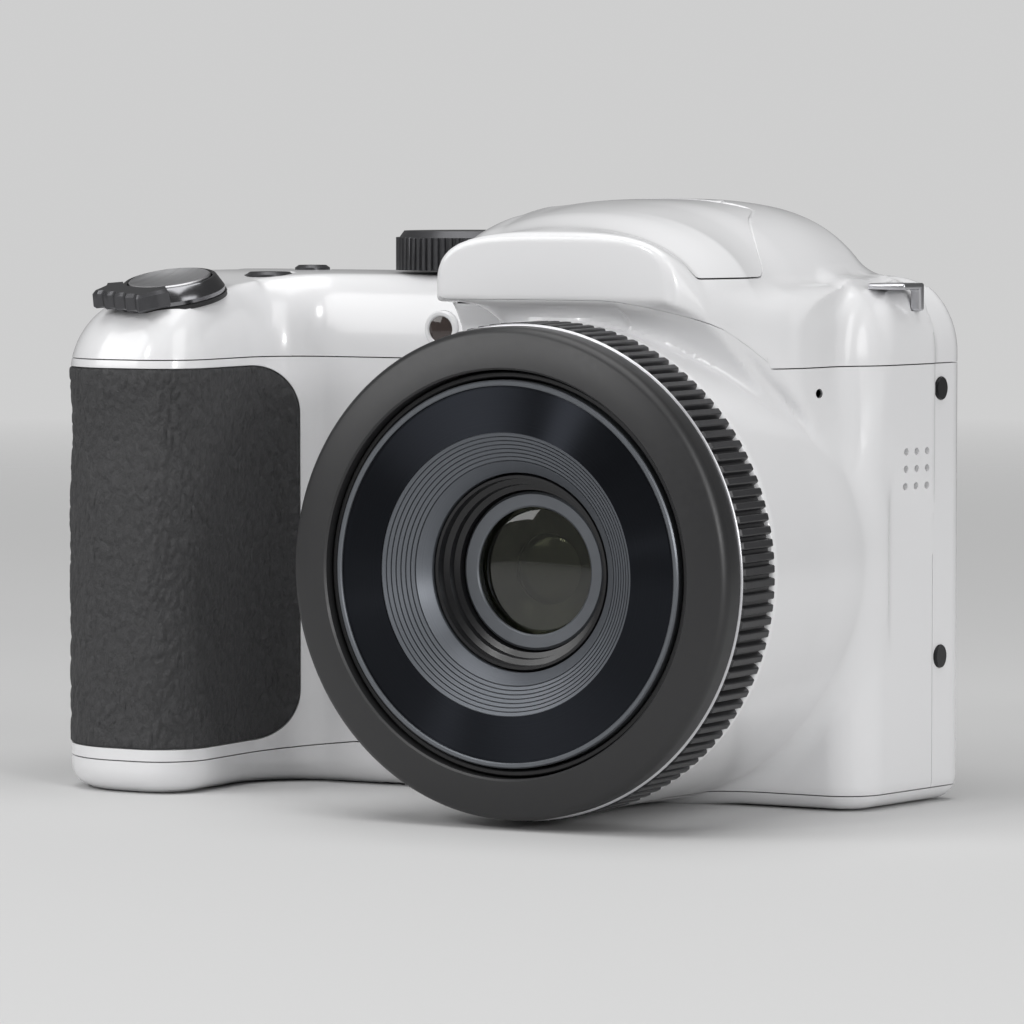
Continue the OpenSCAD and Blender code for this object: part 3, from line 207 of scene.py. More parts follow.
def plan_field(x, y, z):
    left, right, rear, front, grip_front, flank = walls(x, y, z)
    main = np.maximum(np.maximum(round_and(right, rear, 3.5), round_and(left, rear, 3.5)),
                      round_and(right, front, 5.0))
    grip = np.maximum(np.maximum(round_and(left, grip_front, 12.0), round_and(flank, grip_front, 7.0)),
                      y)
    return round_or(main, grip, 8.0)


def body_field(x, y, z):
    left, right, rear, front, grip_front, flank = walls(x, y, z)
    plan = plan_field(x, y, z)
    reach = 11.0
    weights = [(left, CROWNS["side"]), (right, CROWNS["side"]), (rear, CROWNS["front"]),
               (grip_front, CROWNS["grip"])]
    total, crown = 1e-6, CROWNS["front"] * 1e-6
    for wall, size in weights:
        w = np.clip(wall + reach, 0, reach) ** 2
        total, crown = total + w, crown + w * size
    w = np.clip(front + reach, 0, reach) ** 2 * smooth_step(x, GRIP_X - 2, GRIP_X + 8)
    total, crown = total + w, crown + w * CROWNS["front"]
    w = np.clip(flank + reach, 0, reach) ** 2 * smooth_step(-y, 14, 22) * (flank < 8)
    total, crown = total + w, crown + w * CROWNS["flank"]
    drop = -7.0 - y
    fall = 0.15 * 0.5 * (drop + np.sqrt(drop * drop + 9))
    top = z - DECK_Z + fall
    return np.maximum(oval_and(plan, top, crown / total, CROWN_H), round_and(plan, -z, 3.0))


def neck_field(x, y, z):
    radius = curve(-y, [8, 14, 24, NECK_FRONT], [31.8, 31.8, 31.4, 31.2])
    side = np.hypot(x - LENS_X, z - LENS_Z) - radius
    return np.maximum(round_and(side, -NECK_FRONT - y, 0.6), y + 8)


# The hump in sections from back to front: half width, lower z, upper z and roundness
HUMP_AT = [-11.5, -8, -3, 4, 14, 20, 28, 34, 36, 38.4]
HUMP_HALF = [22.3, 25.6, 26.6, 26.4, 25.4, 24.3, 22.4, 20.5, 19.0, 16.7]
HUMP_LOW = [47, 46, 44, 44, 46, 50, 57.6, 62.9, 64.4, 65.7]
HUMP_HIGH = [72.0, 76.2, 78.2, 78.6, 78.5, 78.1, 77.0, 75.3, 74.9, 74.4]
HUMP_POWER = [2.6, 2.8, 2.9, 2.9, 2.7, 2.4, 2.2, 2.15, 2.6, 3.6]
HUMP_LEFT = [22.3, 25.6, 26.6, 26.4, 25.4, 24.3, 21.4, 18.4, 17.4, 16.6]


def hump_field(x, y, z):
    half = np.where(x < LENS_X, curve(-y, HUMP_AT, HUMP_LEFT), curve(-y, HUMP_AT, HUMP_HALF))
    low = curve(-y, HUMP_AT, HUMP_LOW)
    left = curve(-y, [11, 13, 17, 22, 38.4], [46, 50, 62, 65, 65.7])
    low = low + (np.maximum(left, low) - low) * smooth_step(x, 15, 7)
    high = curve(-y, HUMP_AT, HUMP_HIGH)
    power = curve(-y, HUMP_AT, HUMP_POWER)
    shoulder = np.maximum(np.minimum(low + 8, 64), low + 1.2)
    p = np.abs(x - LENS_X) / half
    q = np.maximum(z - shoulder, 0) / (high - shoulder)
    pn, qn = (p + 1e-9) ** power, (q + 1e-9) ** power
    scale = (half * pn + (high - shoulder) * qn) / (pn + qn)
    section = ((pn + qn) ** (1 / power) - 1) * scale
    closed = round_and(section, low - z, 0.6)
    return np.maximum(round_and(closed, -HOOD_FRONT - y, 0.9), round_and(closed, y - 11.2, 3.0))


# The hood's lip and the crease above it, from the face round to the right shoulder
LIP_X = [5.5, 8, 14.6, 29, 34.7, 38.1, 41.3, 43.1, 44.4, 46.0, 47.1, 48.5, 49.5, 50.5, 52]
LIP_Y = [-38.2, -38.2, -38.2, -38.2, -38.0, -36.5, -34.5, -32.5, -29.5, -27.0, -25.0, -22.5, -19.5,
         -16.5, -12]
LIP_Z = [66.2, 65.6, 65.9, 65.9, 65.2, 64.6, 63.8, 62.9, 61.0, 58.4, 56.2, 52.8, 48.5, 44, 38]
CREASE_X = [30, 38.6, 40.7, 42.9, 44.9, 46.7, 48, 49, 50, 51, 52]
CREASE_Y = [-38.2, -38.1, -36, -33.5, -30.5, -27, -24, -21.5, -17, -14, -11.5]
CREASE_Z = [68.1, 68.1, 68.2, 67.4, 65.9, 62.9, 58.3, 53.5, 49, 45, 40]
CREST_Z = [34, 43, 48, 53, 58.4, 62.9, 67, 69]
CREST_X = [52.5, 52.3, 51.8, 51.2, 50.2, 49.6, 48.5, 47.8]
CREST_Y = [-9, -11, -13.4, -16.6, -19.8, -21, -21.8, -22]


def strip_y(x, z):
    """How far forward the strip between lip and crease is."""
    lip_y, lip_z = curve(x, LIP_X, LIP_Y), curve(x, LIP_X, LIP_Z)
    crease_y, crease_z = curve(x, CREASE_X, CREASE_Y), curve(x, CREASE_X, CREASE_Z)
    return lip_y + (crease_y - lip_y) * (z - lip_z) / np.maximum(crease_z - lip_z, 0.5)


def beside(x, y, a, b):
    """Distance to the right of the line from a to b in plan."""
    run_x, run_y = b[0] - a[0], b[1] - a[1]
    return ((x - a[0]) * run_y - (y - a[1]) * run_x) / np.hypot(run_x, run_y)


def shoulder_field(x, y, z):
    slope = (strip_y(x + 0.2, z) - strip_y(x - 0.2, z)) / 0.4
    strip = (strip_y(x, z) - y) / np.sqrt(1.06 + slope * slope)
    down_z = CREASE_Z[:1:-1]
    crease = (curve(z, down_z, CREASE_X[:1:-1]), curve(z, down_z, CREASE_Y[:1:-1]))
    crest = (curve(z, CREST_Z, CREST_X), curve(z, CREST_Z, CREST_Y))
    flare = beside(x, y, crease, crest)
    side = beside(x, y, crest, (54.6, -1.0))
    wedge = round_and(strip, round_and(flare, side, 2.0), 1.4)
    wedge = oval_and(wedge, z - DECK_Z + 0.9, 4.5, 6.0)
    under = (curve(x, LIP_X, LIP_Z) - 0.75 * (y - curve(x, LIP_X, LIP_Y)) - z) * 0.8
    wedge = round_and(wedge, under, 0.45 + 2.2 * smooth_step(x, 44.5, 48.0))
    return np.maximum(np.maximum(wedge, 32 - x), np.maximum(y - 3, 34 - z))


def outer_field(x, y, z):
    form = round_or(body_field(x, y, z), neck_field(x, y, z), FORM_FILLET)
    hood = round_or(shoulder_field(x, y, z), hump_field(x, y, z), SHOULDER_FILLET)
    return round_or(form, hood, HOOD_FILLET)


def rubber_zone(x, y, z, grow=0.0):
    """The panel's region, drawn on a plane that faces its inner edge."""
    u = x * math.cos(RUBBER_TURN) + y * math.sin(RUBBER_TURN)
    edge = RUBBER_EDGE[0] * math.cos(RUBBER_TURN) + RUBBER_EDGE[1] * math.sin(RUBBER_TURN)
    high, low = z - RUBBER_HIGH, RUBBER_LOW - z
    zone = np.maximum(round_and(u - edge, high, RUBBER_R), round_and(u - edge, low, RUBBER_R))
    return np.maximum(zone, y - RUBBER_BACK_Y) - grow


def rubber_field(x, y, z):
    body = body_field(x, y, z)
    face = round_and(body - RUBBER_PROUD, rubber_zone(x, y, z), 0.35)
    return np.maximum(face, RUBBER_PROUD - RUBBER_T - body)


# Turning a field into a mesh

def newton(field, points, level, rounds=4, limit=0.4):
    for _ in range(rounds):
        f = field(*points.T) - level
        g = gradient(field, points)
        step = f[:, None] * g / np.maximum((g * g).sum(1), 0.05)[:, None]
        size = np.linalg.norm(step, axis=1)[:, None]
        points = points - step * np.minimum(1, limit / np.maximum(size, 1e-9))
    return points


def gradient(field, points, e=1e-3):
    x, y, z = points.T
    return np.stack([field(x + e, y, z) - field(x - e, y, z), field(x, y + e, z) - field(x, y - e, z),
                     field(x, y, z + e) - field(x, y, z - e)], 1) / (2 * e)


def corner_sums(f):
    """For each cell, the sum and the number of the places where its edges cross the surface."""
    total = np.zeros([n - 1 for n in f.shape] + [3], np.float32)
    count = np.zeros([n - 1 for n in f.shape], np.int32)
    for axis in range(3):
        a = np.moveaxis(f, axis, 0)
        cross = (a[:-1] < 0) != (a[1:] < 0)
        t = np.where(cross, a[:-1] / np.where(cross, a[:-1] - a[1:], 1), 0)
        cross, t = np.moveaxis(cross, 0, axis), np.moveaxis(t, 0, axis)
        others = [k for k in range(3) if k != axis]
        for i, j in ((0, 0), (0, 1), (1, 0), (1, 1)):
            cut = [slice(None)] * 3
            cut[others[0]] = slice(i, -1 if i == 0 else None)
            cut[others[1]] = slice(j, -1 if j == 0 else None)
            c, tt = cross[tuple(cut)], t[tuple(cut)]
            total[..., axis] += np.where(c, tt, 0)
            total[..., others[0]] += np.where(c, i, 0)
            total[..., others[1]] += np.where(c, j, 0)
            count += c
    return total, count


def field_quads(inside, index):
    quads = []
    for axis in range(3):
        a = np.moveaxis(inside, axis, 0)
        cross = np.moveaxis(a[:-1] != a[1:], 0, axis)
        entering = np.moveaxis(a[:-1] & ~a[1:], 0, axis)
        at = np.argwhere(cross)
        others = [k for k in range(3) if k != axis]
        at = at[(at[:, others[0]] > 0) & (at[:, others[1]] > 0)]
        ring = []
        for i, j in ((1, 1), (0, 1), (0, 0), (1, 0)):
            c = at.copy()
            c[:, others[0]] -= i
            c[:, others[1]] -= j
            ring.append(index[tuple(c.T)])
        quad = np.stack(ring, 1)
        out = entering[tuple(at.T)] ^ (axis == 1)
        quads.append(np.where(out[:, None], quad, quad[:, ::-1]))
    return np.concatenate(quads)


def field_mesh(name, field, low, high, step, level=0.0, relief=None):
    """The surface where the field has that level, as a mesh of small even quads."""
    axes = [np.arange(a, b + step, step) for a, b in zip(low, high)]
    x, y, z = np.meshgrid(*axes, indexing="ij", sparse=True)
    f = np.broadcast_to(field(x, y, z) - level, [len(a) for a in axes]).astype(np.float32)
    total, count = corner_sums(f)
    cells = np.argwhere(count > 0)
    index = np.full(count.shape, -1, np.int64)
    index[tuple(cells.T)] = np.arange(len(cells))
    offset = total[tuple(cells.T)] / count[tuple(cells.T)][:, None]
    points = np.array([a[0] for a in axes]) + (cells + offset) * step
    quads = field_quads(f < 0, index)
    points = newton(field, points.astype(np.float64), level)
    if relief:
        points = relief(points)
    mesh = bpy.data.meshes.new(name)
    mesh.vertices.add(len(points))
    mesh.vertices.foreach_set("co", (points * MM).ravel())
    mesh.loops.add(quads.size)
    mesh.loops.foreach_set("vertex_index", quads.ravel().astype(np.int32))
    mesh.polygons.add(len(quads))
    mesh.polygons.foreach_set("loop_start", np.arange(0, quads.size, 4, dtype=np.int32))
    mesh.update(calc_edges=True)
    mesh.validate()
    return add_object(name, mesh)


def add_object(name, mesh):
    obj = bpy.data.objects.new(name, mesh)
    SCENE.collection.objects.link(obj)
    return obj


# Plain solids, also used as cutters

def mesh_object(name, bm):
    bmesh.ops.recalc_face_normals(bm, faces=bm.faces)
    mesh = bpy.data.meshes.new(name)
    bm.to_mesh(mesh)
    bm.free()
    return add_object(name, mesh)


def loft(name, rings):
    """Closes rings of points, each with as many, into one solid."""
    bm = bmesh.new()
    rows = [[bm.verts.new(Vector(p) * MM) for p in ring] for ring in rings]
    n = len(rows[0])
    bm.faces.new(rows[0][::-1])
    bm.faces.new(rows[-1])
    for a, b in zip(rows, rows[1:]):
        for k in range(n):
            bm.faces.new((a[k], a[(k + 1) % n], b[(k + 1) % n], b[k]))
    return mesh_object(name, bm)


def prism(name, points, start, end, axis):
    """A polygon of points pushed along an axis; points are in the other two axes, in order."""
    others = [k for k in range(3) if k != axis]
    rings = []
    for value in (start, end):
        ring = []
        for p in points:
            co = [0, 0, 0]
            co[axis], co[others[0]], co[others[1]] = value, p[0], p[1]
            ring.append(co)
        rings.append(ring)
    return loft(name, rings)


def block(name, low, high):
    return prism(name, [(low[0], low[1]), (high[0], low[1]), (high[0], high[1]), (low[0], high[1])],
                 low[2], high[2], 2)


def turned(name, profile, start=(LENS_X, 0, LENS_Z), direction=(0, -1, 0), sides=192):
    """A solid turned about an axis, from a closed profile of radius and distance along the axis."""
    turn = Vector(direction).to_track_quat("Z", "Y").to_matrix()
    bm = bmesh.new()
    rows = []
    for k in range(sides):
        a = 2 * math.pi * k / sides
        rows.append([(turn @ Vector((r * math.cos(a), r * math.sin(a), h)) + Vector(start)) * MM
                     for r, h in profile])
    verts = [[bm.verts.new(p) for p in row] for row in rows]
    n = len(profile)
    for k in range(sides):
        a, b = verts[k], verts[(k + 1) % sides]
        for i in range(n):
            j = (i + 1) % n
            if profile[i][0] > 1e-6 or profile[j][0] > 1e-6:
                bm.faces.new((a[i], a[j], b[j], b[i]))
    bmesh.ops.remove_doubles(bm, verts=bm.verts, dist=1e-7)
    bmesh.ops.dissolve_degenerate(bm, dist=1e-8, edges=bm.edges)
    return mesh_object(name, bm)


def rod(name, start, direction, length, radius, sides=48, tip=None):
    """A cylinder from a point along a direction, or a cone with its own tip radius."""
    end = radius if tip is None else tip
    return turned(name, [(0, 0), (radius, 0), (end, length), (0, length)], start, direction, sides)


def carve(obj, cutter, how="DIFFERENCE", keep=False):
    mod = obj.modifiers.new("carve", "BOOLEAN")
    mod.operation = how
    mod.solver = "MANIFOLD"
    mod.object = cutter
    graph = bpy.context.evaluated_depsgraph_get()
    mesh = bpy.data.meshes.new_from_object(obj.evaluated_get(graph))
    obj.modifiers.clear()
    old = obj.data
    obj.data = mesh
    bpy.data.meshes.remove(old)
    if not keep:
        bpy.data.objects.remove(cutter, do_unlink=True)


def copy_of(obj, name):
    return add_object(name, obj.data.copy())


def finish_piece(obj, material, body, nodes=(), angle=35.0):
    for polygon in obj.data.polygons:
        polygon.use_smooth = True
    obj.data.materials.clear()
    obj.data.materials.append(MATERIALS[material])
    obj.data.set_sharp_from_angle(angle=math.radians(angle))
    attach(obj, body)
    if nodes:
        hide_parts(*nodes)


# Materials

class Nodes:
    """A short way to write a material's nodes."""

    def __init__(self, name):
        self.material = bpy.data.materials.new(name)
        self.material.use_nodes = True
        self.tree = self.material.node_tree
        self.shader = self.tree.nodes["Principled BSDF"]
        self.place = self.add("ShaderNodeTexCoord").outputs["Object"]

    def add(self, kind, **values):
        node = self.tree.nodes.new(kind)
        for key, value in values.items():
            setattr(node, key, value)
        return node

    def link(self, start, end):
        self.tree.links.new(start, end)

    def set(self, **values):
        for key, value in values.items():
            self.shader.inputs[key.replace("_", " ")].default_value = value

    def noise(self, scale, detail=2.0, rough=0.5, vector=None):
        node = self.add("ShaderNodeTexNoise")
        node.inputs["Scale"].default_value = scale
        node.inputs["Detail"].default_value = detail
        node.inputs["Roughness"].default_value = rough
        self.link(vector or self.place, node.inputs["Vector"])
        return node.outputs["Fac"]

    def spread(self, value, low, high, start=0.0, end=1.0):
        node = self.add("ShaderNodeMapRange")
        node.inputs["From Min"].default_value = start
        node.inputs["From Max"].default_value = end
        node.inputs["To Min"].default_value = low
        node.inputs["To Max"].default_value = high
        self.link(value, node.inputs["Value"])
        return node.outputs["Result"]

    def shade(self, value, dark, light, target="Base Color"):
        node = self.add("ShaderNodeMix", data_type="RGBA")
        node.inputs["A"].default_value = (*dark, 1)
        node.inputs["B"].default_value = (*light, 1)
        self.link(value, node.inputs["Factor"])
        self.link(node.outputs["Result"], self.shader.inputs[target])

    def bump(self, height, distance, strength=1.0):
        node = self.add("ShaderNodeBump")
        node.inputs["Strength"].default_value = strength
        node.inputs["Distance"].default_value = distance
        self.link(height, node.inputs["Height"])
        self.link(node.outputs["Normal"], self.shader.inputs["Normal"])


def plain(name, color, rough, metal=0.0, vary=0.1, scale=900.0, coat=0.0, grain=0.0):
    """One finish with a little unevenness in its colour and roughness."""
    m = Nodes(name)
    m.set(Metallic=metal)
    cloud = m.noise(scale, 3.0)
    m.shade(cloud, [c * (1 - vary) for c in color], [min(c * (1 + vary), 1) for c in color])
    m.link(m.spread(m.noise(scale * 1.7), rough * 0.85, rough * 1.15), m.shader.inputs["Roughness"])
    m.set(Coat_Weight=coat, Coat_Roughness=0.08)
    if grain:
        m.bump(m.noise(scale * 4, 2.0), grain * MM)
    return m.material


def shell_material():
    m = Nodes("white_shell")
    m.shade(m.noise(28, 2.0), (0.79, 0.79, 0.80), (0.81, 0.81, 0.82))
    m.link(m.spread(m.noise(160), 0.2, 0.24), m.shader.inputs["Roughness"])
    m.set(Coat_Weight=0.4, Coat_Roughness=0.05, IOR=1.5)
    return m.material


def rubber_material():
    m = Nodes("rubber_black")
    m.shade(m.noise(1400, 3.0), (0.034, 0.034, 0.036), (0.06, 0.06, 0.062))
    m.link(m.spread(m.noise(1500, 2.0), 0.5, 0.66), m.shader.inputs["Roughness"])
    stretch = m.add("ShaderNodeVectorMath", operation="MULTIPLY")
    stretch.inputs[1].default_value = (1.0, 1.0, 0.55)
    m.link(m.place, stretch.inputs[0])
    m.bump(m.noise(1900, 5.0, 0.62, stretch.outputs["Vector"]), 0.6 * MM)
    return m.material


def turned_material(name, color, rough, scale=5200.0, metal=1.0, depth=0.004, aniso=0.75):
    """Metal with fine marks that run round the lens axis."""
    m = Nodes(name)
    m.set(Metallic=metal)
    middle = m.add("ShaderNodeVectorMath", operation="SUBTRACT")
    middle.inputs[1].default_value = (LENS_X * MM, 0, LENS_Z * MM)
    m.link(m.place, middle.inputs[0])
    flat = m.add("ShaderNodeVectorMath", operation="MULTIPLY")
    flat.inputs[1].default_value = (1, 0, 1)
    m.link(middle.outputs["Vector"], flat.inputs[0])
    far = m.add("ShaderNodeVectorMath", operation="LENGTH")
    m.link(flat.outputs["Vector"], far.inputs[0])
    marks = m.add("ShaderNodeTexNoise", noise_dimensions="1D")
    marks.inputs["Scale"].default_value = scale
    marks.inputs["Detail"].default_value = 3.0
    m.link(far.outputs["Value"], marks.inputs["W"])
    m.shade(marks.outputs["Fac"], [c * 0.85 for c in color], [c * 1.15 for c in color])
    m.link(m.spread(marks.outputs["Fac"], rough * 0.8, rough * 1.2), m.shader.inputs["Roughness"])
    m.bump(marks.outputs["Fac"], depth * MM)
    m.set(Anisotropic=aniso)
    unit = m.add("ShaderNodeVectorMath", operation="NORMALIZE")
    m.link(flat.outputs["Vector"], unit.inputs[0])
    m.link(unit.outputs["Vector"], m.shader.inputs["Tangent"])
    return m.material


def glass_material(name, color, rough=0.02, through=0.9):
    m = Nodes(name)
    m.set(IOR=1.5, Transmission_Weight=through, Coat_Weight=0.3, Coat_Roughness=0.02)
    cloud = m.noise(60)
    m.shade(cloud, color, [min(1, c * 1.05) for c in color])
    m.link(m.spread(cloud, rough, rough * 1.5), m.shader.inputs["Roughness"])
    return m.material


MATERIALS = {
    "white_shell": shell_material(),
    "flap_white": plain("flap_white", (0.76, 0.76, 0.77), 0.25, vary=0.02, scale=200, coat=0.4),
    "rubber_black": rubber_material(),
    "ring_grey": plain("ring_grey", (0.022, 0.022, 0.023), 0.4, vary=0.06, scale=700, grain=0.002),
    "bright_trim": plain("bright_trim", (0.62, 0.62, 0.64), 0.3, 0.6),
    "knurl_grey": plain("knurl_grey", (0.028, 0.028, 0.03), 0.38, vary=0.08, scale=1200),
    "matt_black": plain("matt_black", (0.012, 0.012, 0.013), 0.5, vary=0.2, grain=0.003),
    "barrel_grey": plain("barrel_grey", (0.15, 0.16, 0.175), 0.34, 0.6, vary=0.06, scale=500),
    "spun_dark": turned_material("spun_dark", (0.022, 0.024, 0.029), 0.3, aniso=1.0),
    "lens_glass": glass_material("lens_glass", (0.3, 0.31, 0.24), 0.01, 1.0),
    "clear_plastic": glass_material("clear_plastic", (0.9, 0.92, 0.95), 0.06),
    "tube_glass": glass_material("tube_glass", (0.92, 0.94, 0.98), 0.04),
    "display_black": glass_material("display_black", (0.02, 0.02, 0.024), 0.04, 0.2),
    "dark_metal": plain("dark_metal", (0.09, 0.09, 0.095), 0.32, 0.7, vary=0.08),
    "dark_chrome": plain("dark_chrome", (0.24, 0.24, 0.25), 0.17, 1.0, vary=0.05),
    "steel": plain("steel", (0.55, 0.55, 0.57), 0.3, 1.0, vary=0.08),
    "black_steel": plain("black_steel", (0.03, 0.03, 0.032), 0.35, 0.6),
    "board_green": plain("board_green", (0.02, 0.12, 0.05), 0.4),
    "contact_metal": plain("contact_metal", (0.7, 0.55, 0.28), 0.28, 1.0),
    "cell_sleeve": plain("cell_sleeve", (0.3, 0.32, 0.35), 0.25, coat=0.4),
    "lamp_amber": glass_material("lamp_amber", (0.08, 0.06, 0.055), 0.05, 0.4),
    "record_red": plain("record_red", (0.4, 0.02, 0.02), 0.3),
    "grey_plastic": plain("grey_plastic", (0.11, 0.11, 0.115), 0.4, grain=0.003),
    "brushed_top": turned_material("brushed_top", (0.5, 0.5, 0.51), 0.42, 3000, 1.0, 0.002, 0.3),
    "groove_grey": turned_material("groove_grey", (0.13, 0.14, 0.157), 0.42, 9000, 0.5, 0.006, 0.4),
    "cell_black": plain("cell_black", (0.009, 0.009, 0.01), 0.3, vary=0.1),
    "glass_brown": plain("glass_brown", (0.012, 0.016, 0.01), 0.05, coat=1.0),
}


def dress_nodes():
    for part in frame["record"]["subparts"]:
        obj = NODES[part["node"]]
        for entry in obj.material_slots:
            entry.link = "OBJECT"
            entry.material = MATERIALS[part["material_slot"]]


# The covers

GRID_STEP = 0.5
OUTER_LOW = (-59, -40, -2)
OUTER_HIGH = (59, 14, 81)


def below_seam(shift):
    """The zone under the bottom cover's seam, as x, z points."""
    return [(-90, -20), (90, -20), (90, LOW_SEAM_Z + shift), (4, LOW_SEAM_Z + shift),
            (-10, BASE_SEAM_Z + 1.4 + shift), (GRIP_X + 12, BASE_SEAM_Z + 1.4 + shift),
            (GRIP_X, BASE_SEAM_Z + shift), (-90, BASE_SEAM_Z + shift)]


def above_seam(name, shift):
    """Everything above the top cover's seam, which climbs to the hood's lip and follows it."""
    flat = TOP_SEAM_Z + shift
    roof = [(70, flat), (70, 110), (-70, 110)]
    rings = []
    for x in [-90, 5.0, *np.linspace(5.8, 46.4, 42), 46.8, 90]:
        lip_y, lip_z = float(curve(x, LIP_X, LIP_Y)), float(curve(x, LIP_X, LIP_Z)) - 0.15 + shift
        if 5.0 < x < 46.8 and lip_z > flat:
            under = [(-70, lip_z), (lip_y - 0.2, lip_z), (lip_y + 1.5, lip_z + 1.3),
                     (lip_y + 3.4 + (lip_z - flat) * 1.3, flat)]
        else:
            under = [(-70, flat), (-38, flat), (-36, flat), (-30, flat)]
        rings.append([(x, y, z) for y, z in under + roof])
    return loft(name, rings)


def rounded(points, radii, steps=5):
    """The polygon with each corner cut to a round of its own radius."""
    out = []
    n = len(points)
    for k, (p, r) in enumerate(zip(points, radii)):
        p = Vector(p)
        a, b = (Vector(points[k - 1]) - p).normalized(), (Vector(points[(k + 1) % n]) - p).normalized()
        if r <= 0:
            out.append(tuple(p))
            continue
        for i in range(steps + 1):
            t = i / steps
            out.append(tuple(p + a * r * (1 - t) ** 2 + b * r * t ** 2))
    return out


def lid_outline(grow):
    """The flash lid from the side, as y, z points."""
    front = -HOOD_FRONT + 3.4
    points = [(front - grow, LID_Z - grow), (-21.4 + grow * 0.5, LID_Z - grow),
              (-19.6 + grow, LID_Z + 2.6 - grow * 0.5), (-15 + grow * 0.6, LID_Z + 6.8 - grow),
              (HINGE_Y - 0.5 + grow, HINGE_Z - grow * 0.3),
              (HINGE_Y - 0.5 + grow, HUMP_Z + 3), (front - grow, HUMP_Z + 3)]
    return rounded(points, [1.2, 1.6, 2.4, 3, 1, 0, 0])


def shutter_turn():
    return Matrix.Translation(Vector(SHUTTER_AT) * MM) @ Matrix.Rotation(SHUTTER_TILT, 4, "X")


def at_shutter(obj):
    """Moves a form made about the origin to the leaning shutter axis."""
    obj.data.transform(shutter_turn())
    return obj


def rubber_pocket():
    """The space that the rubber panel lies in, a little larger than the panel."""
    steps = 24
    ring = []
    edge = RUBBER_EDGE[0] * math.cos(RUBBER_TURN) + RUBBER_EDGE[1] * math.sin(RUBBER_TURN) + 0.12
    high, low, r = RUBBER_HIGH + 0.12, RUBBER_LOW - 0.12, RUBBER_R + 0.12
    for cz, start in ((low + r, -90), (high - r, 0)):
        for k in range(steps + 1):
            a = math.radians(start + 90 * k / steps)
            ring.append((edge - r + r * math.cos(a), cz + r * math.sin(a)))
    ring += [(-90, high), (-90, low)]
    pocket = prism("pocket", ring, -90, 90, 1)
    pocket.data.transform(Matrix.Rotation(RUBBER_TURN, 4, "Z"))
    carve(pocket, block("zone", (-120, -120, -20), (120, RUBBER_BACK_Y + 0.12, 90)), "INTERSECT")
    inner = field_mesh("rubber_bed", body_field, OUTER_LOW, OUTER_HIGH, 1.2, level=RUBBER_PROUD - RUBBER_T)
    carve(pocket, inner)
    return pocket


def open_top(top):
    """Cuts the holes for what sits in the top cover."""
    deck = (0, 0, 1)
    carve(top, at_shutter(rod("hole", (0, 0, -8), deck, 12, 2.8, 32)))
    carve(top, at_shutter(rod("hole", (0, 0, -0.4), deck, 8, LEVER_R + 0.45, 96)))
    carve(top, at_shutter(rod("hole", (0, 0, 0.12), deck, 8, TAB_REACH + 0.6, 96)))
    for at, r in ((POWER_AT, POWER_R), (BURST_AT, BURST_R)):
        carve(top, turned("hole", [(0, -8), (r + BUTTON_GAP, -8), (r + BUTTON_GAP, -0.35),
                                   (r + BUTTON_GAP + 0.7, 0.35), (r + BUTTON_GAP + 0.7, 6), (0, 6)],
                          (at[0], at[1], DECK_Z), deck, 64))
    carve(top, rod("hole", (*DIAL_AT, DECK_Z - 8), deck, 12, 1.55, 32))
    carve(top, rod("hole", (LAMP_AT[0], -16, LAMP_AT[1]), (0, 1, 0), 8, LAMP_COLLAR, 48))
    carve(top, block("hole", (LENS_X - HINGE_HALF - 0.3, HINGE_Y - 3.4, HINGE_Z - 2.2),
                     (LENS_X + HINGE_HALF + 0.3, HINGE_Y + 1.3, HINGE_Z + 4)))
    for low, high in lug_boxes(0.05):
        carve(top, block("slot", low, high))
    for side in (-1, 1):
        knuckle = rod("knuckle", (LENS_X + side * 6.4 - 2, HINGE_Y, HINGE_Z), (1, 0, 0), 4, 1.0, 32)
        carve(top, knuckle, "UNION")
    carve(top, rod("pin", (LENS_X - 9, HINGE_Y, HINGE_Z), (1, 0, 0), 18, 0.52, 32))


def lug_boxes(grow=0.0):
    """The lugs' strips on both shoulders: a flat part and a leg at its rear end."""
    boxes = []
    for side in (-1, 1):
        for x0, x1, y0, y1, z0, z1 in (LUG_PLATE, LUG_LEG):
            near, far = sorted((side * (x0 - grow), side * (x1 + grow)))
            boxes.append(((near, y0 - grow, z0 - grow), (far, y1 + grow, z1 + grow)))
    return boxes


def open_front(front):
    """Cuts the sound holes and the rubber's bed in the front cover."""
    carve(front, rubber_pocket())
    for a in (-1, 0, 1):
        for b in (-1, 0, 1):
            y, z = SPEAKER_AT[0] + a * SPEAKER_PITCH, SPEAKER_AT[1] + b * SPEAKER_PITCH
            carve(front, rod("hole", (50, y, z), (1, 0, 0), 9, SPEAKER_HOLE, 24))
    sound_mesh()
    carve(front, rod("hole", MIC_AT, MIC_WAY, 12, MIC_R, 24))


def sound_mesh():
    """The dark cloth behind the sound holes, pressed a little way into each."""
    cy, cz, half = SPEAKER_AT[0], SPEAKER_AT[1], 4
    cloth = block("sound_cloth", (51.2, cy - half, cz - half), (52.2, cy + half, cz + half))
    for a in (-1, 0, 1):
        for b in (-1, 0, 1):
            y = SPEAKER_AT[0] + a * SPEAKER_PITCH
            length = 53.9 + 0.1677 * (y + 7) - 0.3 - 51.5
            carve(cloth, rod("peg", (51.5, y, SPEAKER_AT[1] + b * SPEAKER_PITCH), (1, 0, 0), length,
                             SPEAKER_HOLE - 0.02, 24), "UNION")
    finish_piece(cloth, "matt_black", "camera")


def soft_box(name, at, size, radius, start, end):
    """A box with rounded corners that faces the back, about a point in x and z."""
    w, h = size[0] / 2, size[1] / 2
    x, z = at
    points = [(x - w, z - h), (x + w, z - h), (x + w, z + h), (x - w, z + h)]
    return prism(name, rounded(points, [radius * 1.3] * 4, 8), start, end, 1)


